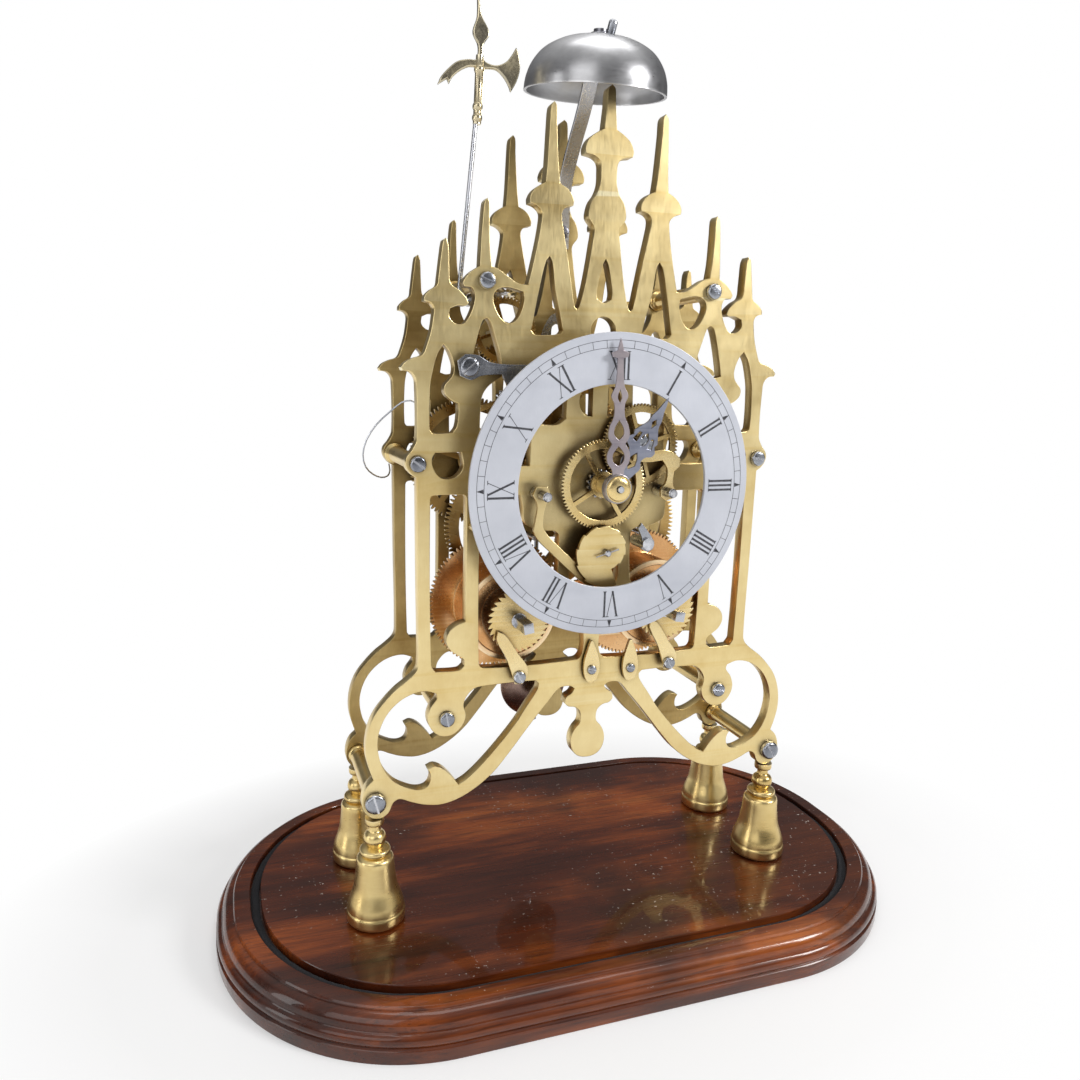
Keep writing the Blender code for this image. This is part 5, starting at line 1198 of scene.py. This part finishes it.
def build_dial():
    far = dial_front_depth + dial_thickness
    loops = [ring_points((0, 0), dial_radius, 160), ring_points((0, 0), dial_bore_radius, 128)]
    flat_piece("chapter_ring_shown", loops, dial_front_depth, far, "silvered", ("chapter_ring",))
    for number, place in enumerate(dial_post_spots_shares):
        arbor(f"dial_post_{number}", place,
              [(dial_post_radius, far - gap, -gap),
               (dial_tenon_radius, -gap, dial_post_tenon - gap)], "turned_brass", "frame")
    bars = []
    for number, name in enumerate(numeral_names):
        bars += numeral_bars(name, math.radians(30 * number))
    for minute in range(60):
        angle = math.radians(6 * minute)
        half = track_line / 2
        bars.append(dial_bar(angle, track_inner_radius, track_outer_radius, 0, 0, half, half))
        if minute % 5 == 0:
            base = track_inner_radius + track_line
            bars.append(dial_bar(angle, base, track_outer_radius, 0, 0,
                                 marker_foot_half, marker_tip_half))
    mesh_data = bmesh.new()
    face = dial_front_depth - mark_height
    turns = 180
    for radius in (track_inner_radius, track_outer_radius):
        inner = ring_points((0, 0), radius - track_line / 2, turns)
        outer = ring_points((0, 0), radius + track_line / 2, turns)
        rings = [[mesh_data.verts.new(spot((0, 0), face) + Vector((a, 0, u))) for a, u in ring]
                 for ring in (inner, outer)]
        for k in range(turns):
            after = (k + 1) % turns
            mesh_data.faces.new((rings[0][k], rings[1][k], rings[1][after], rings[0][after]))
    for bar in bars:
        mesh_data.faces.new([mesh_data.verts.new(spot((0, 0), face) + Vector((a, 0, u)))
                             for a, u in bar])
    for marked in mesh_data.faces:
        marked.normal_update()
        if marked.normal.y > 0:
            marked.normal_flip()
    made = linked("dial_marks", mesh_of("dial_marks", mesh_data))
    settle(made, "dial_ink", body="frame", smooth=0)


# Hands and centre


def build_hand(node, edge, openings, lean, depth, bore, finish, side_opening=None):
    loops = [eased(scaled(mirrored(edge), lean=lean), hand_step, 48)]
    loops += [eased(scaled(mirrored(opening), lean=lean), hand_step) for opening in openings]
    if side_opening:
        loops.append(eased(scaled(side_opening, lean=lean), hand_step))
        loops.append(eased(scaled([(-a, u) for a, u in side_opening], lean=lean), hand_step))
    flat_piece(node + "_shown", loops, depth, depth + hand_thickness, finish, (node,),
               round_edge=small_round)
    lip = hand_thickness * 0.15
    boss = [ring_points((0, 0), hand_boss_radius, 64), ring_points((0, 0), bore, 40)]
    flat_piece(node + "_boss", boss, depth - lip, depth + hand_thickness + lip, finish,
               body=body_of_node[node], round_edge=small_round)


def build_centre():
    build_hand("hour_hand", hour_edge_shares, hour_openings_shares, hour_hand_lean,
               hour_hand_depth, hour_pipe_radius + gap, "grey_steel", hour_side_opening_shares)
    build_hand("minute_hand", minute_edge_shares, minute_openings_shares, minute_hand_lean,
               minute_hand_depth, cannon_radius * 0.8 + gap, "minute_steel")
    lip = hand_thickness * 0.15
    seat = minute_hand_depth - lip - gap
    tall = collet_height
    bore = arbor_radius + gap
    profile = [(bore, 0), (collet_radius * 1.18, 0), (collet_radius * 1.18, -tall * 0.22)]
    profile += flowing([(collet_radius * 1.02, -tall * 0.28), (collet_radius * 0.95, -tall * 0.6),
                        (collet_radius * 0.75, -tall * 0.86), (collet_radius * 0.5, -tall * 0.98),
                        (bore, -tall)], 3)
    lathe("hand_collet_shown", profile, spot((0, 0), seat), (0, 1, 0), "wheel_brass",
          ("hand_collet",), segments=56)
    ring = [ring_points((0, 0), collet_radius * collet_ring_outer_share, 56),
            ring_points((0, 0), collet_radius * collet_ring_inner_share, 56)]
    flat_piece("collet_ring", ring, seat - tall * 0.25, seat - tall * 0.20, "dark_steel",
               body="centre", round_edge=ring_round)
    shown_wheel("centre_wheel_shown", "centre_wheel", (0, 0), centre_wheel_depth,
                centre_wheel_radius, shown_teeth["centre_wheel"], 5)
    step = minute_hand_depth + hand_thickness + lip + gap
    front = minute_hand_depth - lip - gap / 2
    arbor("centre_arbor", (0, 0),
          [(arbor_radius, arbor_tip_depth, front), (cannon_radius * 0.8, front, step),
           (cannon_radius, step, centre_wheel_depth + wheel_thickness + pinion_overhang),
           (train_arbor_radius, centre_wheel_depth + wheel_thickness + pinion_overhang,
            inside_far)],
          "steel", "centre")
    loops = [gear_loop(cannon_pinion_radius, 14, cannon_pinion_radius * 0.2)]
    flat_piece("cannon_pinion", loops, minute_wheel_depth - gap,
               minute_wheel_depth + wheel_thickness + gap, "steel", body="centre",
               round_edge=small_round)
    leaves("centre_leaves", (0, 0), time_first_depth, pinion_radius, "centre")
    shown_wheel("hour_wheel_shown", "hour_wheel", (0, 0), hour_wheel_depth, hour_wheel_radius,
                shown_teeth["hour_wheel"], 4, hour_pipe_bore, hour_pipe_radius * 1.6,
                turn=0.55, height_share=0.055)
    near = hour_hand_depth - lip
    far = hour_wheel_depth + wheel_thickness * 0.5
    profile = [(hour_pipe_bore, near), (hour_pipe_radius, near), (hour_pipe_radius, far),
               (hour_pipe_bore, far)]
    lathe("hour_pipe_shown", profile, spot((0, 0), 0), (0, 1, 0), "turned_brass", body="hour")
    shown_wheel("minute_wheel_shown", "minute_wheel", minute_wheel_spot_shares,
                minute_wheel_depth, minute_wheel_radius, shown_teeth["minute_wheel"], 4,
                hub=minute_wheel_hub_radius, height_share=0.055)
    near = hour_wheel_depth - pinion_overhang
    far = hour_wheel_depth + wheel_thickness + pinion_overhang
    arbor("minute_arbor", minute_wheel_spot_shares,
          [(stud_radius, near - pinion_overhang, -gap)], "steel", "motion")
    loops = moved([gear_loop(minute_pinion_radius, 10, minute_pinion_radius * 0.28)],
                  minute_wheel_spot_shares)
    flat_piece("minute_pinion", loops, near, far, "steel", body="motion", round_edge=small_round)


# Strike work


def front_stud(name, place, front, radius, collar, body, finish="steel"):
    arbor(name, place, [(radius * 0.85, front, front + radius * 0.4),
                        (radius, front + radius * 0.4, collar),
                        (radius * stud_collar_share, collar, -gap)], finish, body)


def smooth_lever(node, outline, place, depth, thickness, finish):
    flat_piece(node + "_shown", [eased(scaled(outline, place), lever_step, 40)], depth,
               depth + thickness, finish, (node,), round_edge=lever_round)


def build_front_work():
    smooth_lever("rack", rack_arm_shares, rack_stud_spot_shares, rack_depth, lever_thickness,
                 "plate_brass")
    smooth_lever("warning_tail", tail_lever_shares, tail_stud_spot_shares, tail_depth,
                 lever_thickness, "wheel_brass")
    smooth_lever("strike_lever", strike_lever_shares, lever_stud_spot_shares, lever_depth,
                 lever_thickness, "steel")
    smooth_lever("gathering_pallet", gathering_shares, pallet_stud_spot_shares, pallet_depth,
                 lever_thickness, "steel")
    for node, place, depth in (("rack", rack_stud_spot_shares, rack_depth),
                               ("warning_tail", tail_stud_spot_shares, tail_depth)):
        front_stud(node + "_stud", place, long_stud_depth, long_stud_radius,
                   depth + lever_thickness - gap, body_of_node[node], "stud_steel")
    arbor("pallet_hub", pallet_stud_spot_shares,
          [(long_stud_radius * 1.35, pallet_depth - lever_thickness, -gap)], "steel",
          body_of_node["gathering_pallet"])
    head = screw_head_radius * 1.15
    slotted_head("lever_screw", lever_stud_spot_shares, lever_depth + gap, head,
                 small_screw_height + gap, -lever_depth - gap * 2, "steel",
                 body=body_of_node["strike_lever"], turn=-40.0)
    points = []
    for step in range(snail_steps):
        share = step / (snail_steps - 1)
        radius = snail_radius - (snail_radius - snail_least_radius) * share
        for part in range(5):
            angle = snail_start - 2 * math.pi * (step + part * 0.98 / 4) / snail_steps
            points.append((radius * math.cos(angle), radius * math.sin(angle)))
    flat_piece("snail_shown", moved([points], snail_spot_shares), snail_depth,
               snail_depth + snail_thickness, "plate_brass", ("snail",), round_edge=snail_round)
    body = body_of_node["snail"]
    front_stud("snail_stud", snail_spot_shares, stud_front_depth, stud_radius,
               snail_depth + snail_thickness - gap, body, "stud_steel")
    middle = spot(snail_spot_shares, (stud_front_depth + snail_depth) / 2)
    along = Vector((math.cos(taper_pin_lean), 0, math.sin(taper_pin_lean)))
    half = taper_pin_length / 2
    profile = [(0, -half), (taper_pin_radius * 0.6, -half), (taper_pin_radius, half), (0, half)]
    lathe("taper_pin", profile, middle, along, "dark_steel", body=body, segments=16)


def build_winding(side, sign):
    place = (sign * barrel_spot_shares[0], barrel_spot_shares[1])
    node = f"{side}_ratchet"
    body = body_of_node[node]
    loops = [saw_loop(ratchet_radius, shown_teeth["ratchet"], ratchet_radius * 0.13)]
    flat_piece(node + "_shown", moved(loops, place), ratchet_depth,
               ratchet_depth + wheel_thickness, "wheel_brass", (node,), round_edge=small_round)
    neck = winding_arbor_radius
    arbor(f"{side}_winding_arbor", place,
          [(neck * 1.15, ratchet_depth - gap * 2, -gap), (neck, -gap, inside_far)], "steel", body)
    size = (winding_square_half * 2, ratchet_depth - winding_square_depth, winding_square_half * 2)
    middle = spot(place, (ratchet_depth + winding_square_depth) / 2)
    box_piece(f"{side}_winding_square", size, middle, "steel", body, math.radians(sign * 9),
              square_round)

    node = f"{side}_barrel"
    body = body_of_node[node]
    bore = neck + gap
    shown_wheel(node + "_shown", node, place, great_wheel_depth, great_wheel_radius,
                shown_teeth["great_wheel"], 0, bore, finish="barrel_brass", height_share=0.05)
    near, wide, lip = barrel_depth, barrel_radius, barrel_wall
    end = great_wheel_depth + wheel_thickness * 0.5
    profile = [(bore, near), (wide * 0.30, near), (wide * 0.30, near + lip * 0.6),
               (wide * 0.62, near + lip * 0.6), (wide * 0.62, near + lip * 0.45),
               (wide * 0.66, near + lip * 0.45), (wide * 0.66, near + lip * 0.6),
               (wide * 0.88, near + lip * 0.6), (wide * 0.90, near), (wide, near),
               (wide, near + lip * 1.6), (wide * 0.985, near + lip * 1.7),
               (wide * 0.985, end - lip * 3), (wide, end - lip * 2.9), (wide, end), (bore, end)]
    lathe(f"{side}_drum", profile, spot(place, 0), (0, 1, 0), "barrel_brass", body=body,
          segments=72, smooth=30)

    node = f"{side}_click"
    place = click_spot_shares[side]
    smooth_lever(node, click_shares, place, click_depth, wheel_thickness, "wheel_brass")
    slotted_head(f"{side}_click_screw", place, click_depth + gap, small_screw_radius,
                 small_screw_height + gap, -click_depth - gap * 2, "steel",
                 body=body_of_node[node], turn=60.0)

    node = f"{side}_spring"
    place = spring_foot_spots_shares[side]
    smooth_lever(node, spring_foot_shares, place, spring_foot_depth, wheel_thickness * 1.2,
                 "wheel_brass")
    slotted_head(f"{side}_spring_screw", place, spring_foot_depth + gap,
                 small_screw_radius * 0.75, small_screw_height * 0.9,
                 -spring_foot_depth - gap * 2, "steel", body="frame", turn=15.0,
                 slot_width=screw_slot_width * 0.7)


# Trains


def build_trains():
    across, up = first_wheel_spot_shares
    train("time_first_wheel", (across, up), time_first_depth, first_wheel_radius, 5,
          great_wheel_depth)
    train("strike_first_wheel", (-across, up), strike_first_depth, first_wheel_radius, 5,
          great_wheel_depth)
    train("third_wheel", third_wheel_spot_shares, third_wheel_depth, third_wheel_radius, 4,
          centre_wheel_depth)
    train("escape_wheel", escape_wheel_spot_shares, escape_wheel_depth, escape_wheel_radius, 5,
          third_wheel_depth, height_share=0.14, lean=0.30)
    train("pin_wheel", pin_wheel_spot_shares, pin_wheel_depth, pin_wheel_radius, 5,
          strike_first_depth)
    train("locking_wheel", locking_wheel_spot_shares, locking_wheel_depth, locking_wheel_radius,
          4, pin_wheel_depth)
    train("warning_wheel", warning_wheel_spot_shares, warning_wheel_depth, warning_wheel_radius,
          4, locking_wheel_depth)


def build_fly():
    arbor("fly_shown", fly_spot_shares, [(train_arbor_radius, inside_near, inside_far)], "steel",
          body_of_node["fly"], 16)
    leaves("fly_leaves", fly_spot_shares, warning_wheel_depth, pinion_radius * 0.75,
           body_of_node["fly"])
    box_piece("fly_blade", (fly_half_span * 2, fly_length, fly_thickness),
              spot(fly_spot_shares, fly_centre_depth), "wheel_brass", body_of_node["fly"],
              math.radians(32))


def build_pallets():
    body = body_of_node["pallets"]
    flat_piece("pallets_shown", [eased(scaled(anchor_shares, pallet_arbor_spot_shares), lever_step)],
               pallet_arm_depth, pallet_arm_depth + wheel_thickness, "steel", ("pallets",),
               round_edge=small_round)
    far = crutch_depth + wheel_thickness * 0.5
    arbor("pallet_arbor", pallet_arbor_spot_shares,
          [(train_arbor_radius, inside_near, far)], "steel", body, 16)
    half = train_arbor_radius * 1.4 / grid
    reach = crutch_length / grid
    outline = ((-half * 1.6, half * 1.6), (half * 1.6, half * 1.6), (half * 0.7, -half * 3),
               (half * 0.7, -reach), (-half * 0.7, -reach), (-half * 0.7, -half * 3))
    flat_piece("crutch", [scaled(outline, pallet_arbor_spot_shares)], crutch_depth,
               crutch_depth + wheel_thickness * 0.8, "steel", body=body, round_edge=small_round)
    pin = (pallet_arbor_spot_shares[0], pallet_arbor_spot_shares[1] - reach + half)
    arbor("crutch_pin", pin, [(train_arbor_radius * 0.6, crutch_depth + wheel_thickness * 0.3,
                               pendulum_depth - pendulum_rod_radius - gap)], "steel", body, 12)


def build_pendulum():
    body = body_of_node["pendulum"]
    top = spot(pallet_arbor_spot_shares, pendulum_depth)
    middle = top - Vector((0, 0, suspension_length / 2 - suspension_top))
    size = (suspension_half_width * 2, suspension_thickness, suspension_length)
    box_piece("suspension_strip", size, middle, "steel", body)
    end = pendulum_length + bob_radius * 1.15
    stem = pendulum_rod_radius
    profile = [(0, rod_top), (stem * 2, rod_top), (stem * 2, rod_top + rod_collar_length),
               (stem, rod_top + rod_collar_length + stem), (stem, end - stem * 3),
               (stem * 1.9, end - stem * 3), (stem * 1.9, end - stem * 0.5), (0, end)]
    lathe("pendulum_rod", profile, top, (0, 0, -1), "steel", body=body, segments=20)
    centre = top - Vector((0, 0, pendulum_length))
    wide, deep = bob_radius, bob_half_thickness
    face = [(0, -deep), (wide * 0.30, -deep * 0.95), (wide * 0.55, -deep * 0.80),
            (wide * 0.80, -deep * 0.45), (wide * 0.97, -deep * 0.10)]
    profile = flowing(face, 4) + [(wide, -deep * 0.05), (wide, deep * 0.05)]
    profile += flowing([(r, -z) for r, z in face[::-1]], 4)
    lathe("pendulum_bob", profile, centre, (0, 1, 0), "bob_brass", ("pendulum",), segments=72)


def build_cock():
    half = cock_width / 2 / grid
    seat = plate_thickness * 2 + plate_clearance + gap
    near = pendulum_depth + suspension_thickness / 2 + gap
    back = cock_reach_depth + cock_plate_thickness
    for name, low, high, start, end, nodes in (
            ("cock_foot", cock_foot_low_share, cock_foot_high_share, seat,
             seat + cock_plate_thickness, ("back_cock",)),
            ("cock_arm", cock_foot_low_share, cock_arm_high_share,
             seat + cock_plate_thickness * 0.5, back, ()),
            ("cock_cheek", cock_cheek_low_share, cock_cheek_high_share, near, back - gap, ())):
        outline = ((-half, low), (-half, high), (half, high), (half, low))
        flat_piece(name, [eased(scaled(outline), lever_step, 40)], start, end, "shaded_rear_brass", nodes,
                   body="frame", round_edge=small_round)


def tube_along(name, points, radius, finish, nodes=(), body=None, segments=16):
    mesh_data = bmesh.new()
    rings = []
    side = Vector((0, 1, 0))
    for k, here in enumerate(points):
        aim = (points[min(k + 1, len(points) - 1)] - points[max(k - 1, 0)]).normalized()
        side = (side - aim * side.dot(aim)).normalized()
        other = aim.cross(side)
        rings.append([mesh_data.verts.new(here + radius * (
            side * math.cos(2 * math.pi * s / segments)
            + other * math.sin(2 * math.pi * s / segments))) for s in range(segments)])
    skin(mesh_data, rings)
    return settle(linked(name, mesh_of(name, mesh_data)), finish, nodes, body, smooth=40)


def build_hammer():
    place = hammer_spot_shares
    body = "halberd"
    middle = hammer_depth
    half = hammer_hub_length / 2
    arbor("hammer_arbor", place, [(train_arbor_radius, inside_near, middle - half),
                                  (hammer_hub_radius, middle - half, middle + half),
                                  (train_arbor_radius, middle + half, inside_far)], "steel", body, 24)
    corners = [(place[0] + a, place[1] + u) for a, u in hammer_rod_route_shares]
    low_bend = flowing(corners[:3], 5)
    route = [spot(point, middle) for point in low_bend + [corners[3]]]
    tube_along("hammer_rod", route, hammer_rod_radius, "steel", body=body)
    outline = [(a + place[0], u + place[1] + halberd_drop_share) for a, u in halberd_shares]
    thin = halberd_thickness / 2
    flat_piece("halberd_shown", [eased(scaled(outline), lever_step, 62)], middle - thin, middle + thin,
               "halberd_brass", ("halberd_hammer",), round_edge=halberd_round)
    low, high = [spot((place[0] + a, place[1] + u), middle) for a, u in halberd_socket_shares]
    wide = halberd_socket_radius
    length = (high - low).length
    profile = [(0, 0), (wide * 0.82, 0)]
    for start in (0.04, 0.20, 0.72):
        profile += flowing([(wide * 0.80, length * start), (wide * 0.99, length * (start + 0.03)),
                            (wide * 0.99, length * (start + 0.07)),
                            (wide * 0.80, length * (start + 0.10))], 3)
    profile += [(wide * 0.74, length * 0.97), (0, length)]
    lathe("halberd_socket", profile, low, tuple((high - low).normalized()), "halberd_brass",
          body=body, segments=32)


def build_bell():
    rim = dial_centre_height + bell_rim_height_share * grid
    centre = Vector((0, bell_depth - front_face_setback, rim))
    aim = Vector((0, -math.sin(bell_lean), math.cos(bell_lean)))
    wide = [(bell_radius * r, bell_rise * z) for r, z in bell_profile_shares]
    wide.append((bell_hole_radius, bell_rise))
    inner = [(max(bell_radius * r - bell_wall, bell_hole_radius),
              max(bell_rise * z - bell_wall * share, 0))
             for (r, z), share in zip(bell_profile_shares, bell_wall_shares)]
    inner.append((bell_hole_radius, bell_rise - bell_wall))
    profile = flowing(wide[::-1], 6) + flowing(inner, 6)
    lathe("bell_shown", profile, centre, aim, "bell_metal", ("bell",), segments=96)
    seat = centre + aim * (bell_rise + gap)
    tall = bell_nut_height
    nut = bell_nut_radius
    profile = [(bell_hole_radius, 0), (nut, 0), (nut, tall * 0.4), (nut * 0.7, tall * 0.55),
               (nut * 0.7, tall), (bell_hole_radius, tall)]
    lathe("bell_nut_shown", rounded(profile, small_round, 2), seat, aim, "dark_steel",
          ("bell_nut",), segments=40)

    rear_face = plate_thickness + plate_clearance
    route = []
    for number, (depth_share, height_share) in enumerate(strap_route_shares):
        depth = depth_share * grid
        if number < 2:
            depth = rear_face - gap - strap_thickness / 2
        route.append((depth - front_face_setback, dial_centre_height + height_share * grid))
    line = [Vector((0, y, z)) for y, z in [route[0]] + flowing(route[1:], 5)]
    mesh_data = bmesh.new()
    rings = []
    for k, here in enumerate(line):
        aim = (line[min(k + 1, len(line) - 1)] - line[max(k - 1, 0)]).normalized()
        out = Vector((0, aim.z, -aim.y))
        half = strap_width / 2 * (0.75 + 0.25 * min(1.0, (len(line) - 1 - k) / 5))
        rings.append([mesh_data.verts.new(here + Vector((sx * half, 0, 0))
                                          + out * (sy * strap_thickness / 2))
                      for sx, sy in ((-1, -0.7), (-0.94, -1), (0.94, -1), (1, -0.7), (1, 0.7),
                                     (0.94, 1), (-0.94, 1), (-1, 0.7))])
    skin(mesh_data, rings)
    made = linked("standard_shown", mesh_of("standard_shown", mesh_data))
    settle(made, "standard_steel", ("bell_standard",), smooth=30)
    top = bell_rise + bell_stud_above
    base = (line[-1] - centre).dot(aim) - bell_stud_bite
    shoulder = bell_rise - bell_wall - gap - base
    stud = bell_stud_radius
    profile = [(0, 0), (stud * 1.3, 0), (stud * 1.9, shoulder), (stud, shoulder),
               (stud, top - base - stud * 0.4), (stud * 0.7, top - base), (0, top - base)]
    lathe("bell_stud", profile, centre + aim * base, aim, "steel", body="frame", segments=32)
    slotted_head("standard_screw", standard_screw_spot_shares,
                 rear_face - gap * 2 - strap_thickness, small_screw_radius, small_screw_height,
                 gap * 2, "dark_steel", body="frame", turn=25.0)


def wear_wire():
    made = frame["nodes"]["wire_loop"]
    made.data.materials.clear()
    made.data.materials.append(finishes["steel"])
    made.data.shade_smooth()


def area_light(name, place, width, power, height):
    data = bpy.data.lights.new(name, "AREA")
    data.energy = power
    data.size = width
    if height:
        data.shape = "RECTANGLE"
        data.size_y = height
    made = linked(name, data)
    made.location = place
    made.rotation_euler = (Vector(lamp_aim) - Vector(place)).to_track_quat("-Z", "Y").to_euler()


def build_stage():
    floor = bpy.data.meshes.new("studio_floor")
    half = floor_half
    floor.from_pydata([(-half, -half, 0), (half, -half, 0), (half, half, 0), (-half, half, 0)],
                      [], [(0, 1, 2, 3)])
    made = linked("studio_floor", floor)
    matter, tree, shader = shader_nodes("studio_floor")
    shader.inputs["Base Color"].default_value = (0.86, 0.86, 0.86, 1)
    shader.inputs["Roughness"].default_value = 0.8
    white = tree.nodes.new("ShaderNodeEmission")
    blend = tree.nodes.new("ShaderNodeMixShader")
    place = tree.nodes.new("ShaderNodeTexCoord")
    stretch = tree.nodes.new("ShaderNodeMapping")
    stretch.inputs["Scale"].default_value = (1 / floor_fade_length, 1 / floor_fade_width, 1.0)
    reach = tree.nodes.new("ShaderNodeVectorMath")
    reach.operation = "LENGTH"
    tree.links.new(place.outputs["Object"], stretch.inputs["Vector"])
    tree.links.new(stretch.outputs["Vector"], reach.inputs[0])
    tree.links.new(spread(tree, reach.outputs["Value"], 0.35, 1.0, 0.85, 1.15), blend.inputs[0])
    tree.links.new(shader.outputs[0], blend.inputs[1])
    tree.links.new(white.outputs[0], blend.inputs[2])
    tree.links.new(blend.outputs[0], tree.nodes["Material Output"].inputs["Surface"])
    floor.materials.append(matter)

    for name, (place, width, power, height) in lamps.items():
        area_light(name, place, width, power, height)

    world = bpy.data.worlds.new("studio")
    bpy.context.scene.world = world
    world.use_nodes = True
    tree = world.node_tree
    tree.nodes.clear()
    out = tree.nodes.new("ShaderNodeOutputWorld")
    light = tree.nodes.new("ShaderNodeBackground")
    light.inputs["Strength"].default_value = 0.62
    coordinates = tree.nodes.new("ShaderNodeTexCoord")
    parts = tree.nodes.new("ShaderNodeSeparateXYZ")
    tree.links.new(coordinates.outputs["Generated"], parts.inputs[0])
    shade = tree.nodes.new("ShaderNodeValToRGB")
    shade.color_ramp.elements[0].position = 0.0
    shade.color_ramp.elements[0].color = (0.10, 0.095, 0.09, 1)
    shade.color_ramp.elements[1].position = 0.80
    shade.color_ramp.elements[1].color = (1.0, 1.0, 1.0, 1)
    between = shade.color_ramp.elements.new(0.52)
    between.color = (0.30, 0.30, 0.31, 1)
    tree.links.new(parts.outputs["Z"], shade.inputs[0])
    tree.links.new(shade.outputs[0], light.inputs["Color"])
    backdrop = tree.nodes.new("ShaderNodeBackground")
    backdrop.inputs["Color"].default_value = (1, 1, 1, 1)
    backdrop.inputs["Strength"].default_value = 1.0
    choice = tree.nodes.new("ShaderNodeMixShader")
    rays = tree.nodes.new("ShaderNodeLightPath")
    tree.links.new(rays.outputs["Is Camera Ray"], choice.inputs[0])
    tree.links.new(light.outputs[0], choice.inputs[1])
    tree.links.new(backdrop.outputs[0], choice.inputs[2])
    tree.links.new(choice.outputs[0], out.inputs["Surface"])


def place_camera():
    data = bpy.data.cameras.new("camera")
    data.lens = camera_lens
    data.sensor_width = camera_sensor
    data.shift_x, data.shift_y = camera_shift
    made = linked("camera", data)
    turn, rise, roll = camera_azimuth, camera_elevation, camera_roll
    back = Vector((math.sin(turn) * math.cos(rise), -math.cos(turn) * math.cos(rise),
                   math.sin(rise)))
    right = Vector((math.cos(turn), math.sin(turn), 0))
    up = back.cross(right)
    leaned_right = right * math.cos(roll) + up * math.sin(roll)
    leaned_up = up * math.cos(roll) - right * math.sin(roll)
    matrix = Matrix((leaned_right, leaned_up, back)).transposed().to_4x4()
    matrix.translation = Vector(camera_place)
    made.matrix_world = matrix
    bpy.context.scene.camera = made


build_base()
build_plates()
build_pillars()
build_feet()
build_dial()
build_centre()
build_front_work()
for side, sign in (("left", -1), ("right", 1)):
    build_winding(side, sign)
build_trains()
build_fly()
build_pallets()
build_pendulum()
build_cock()
build_hammer()
build_bell()
wear_wire()
build_stage()
place_camera()

bpy.context.scene.view_settings.view_transform = "Standard"
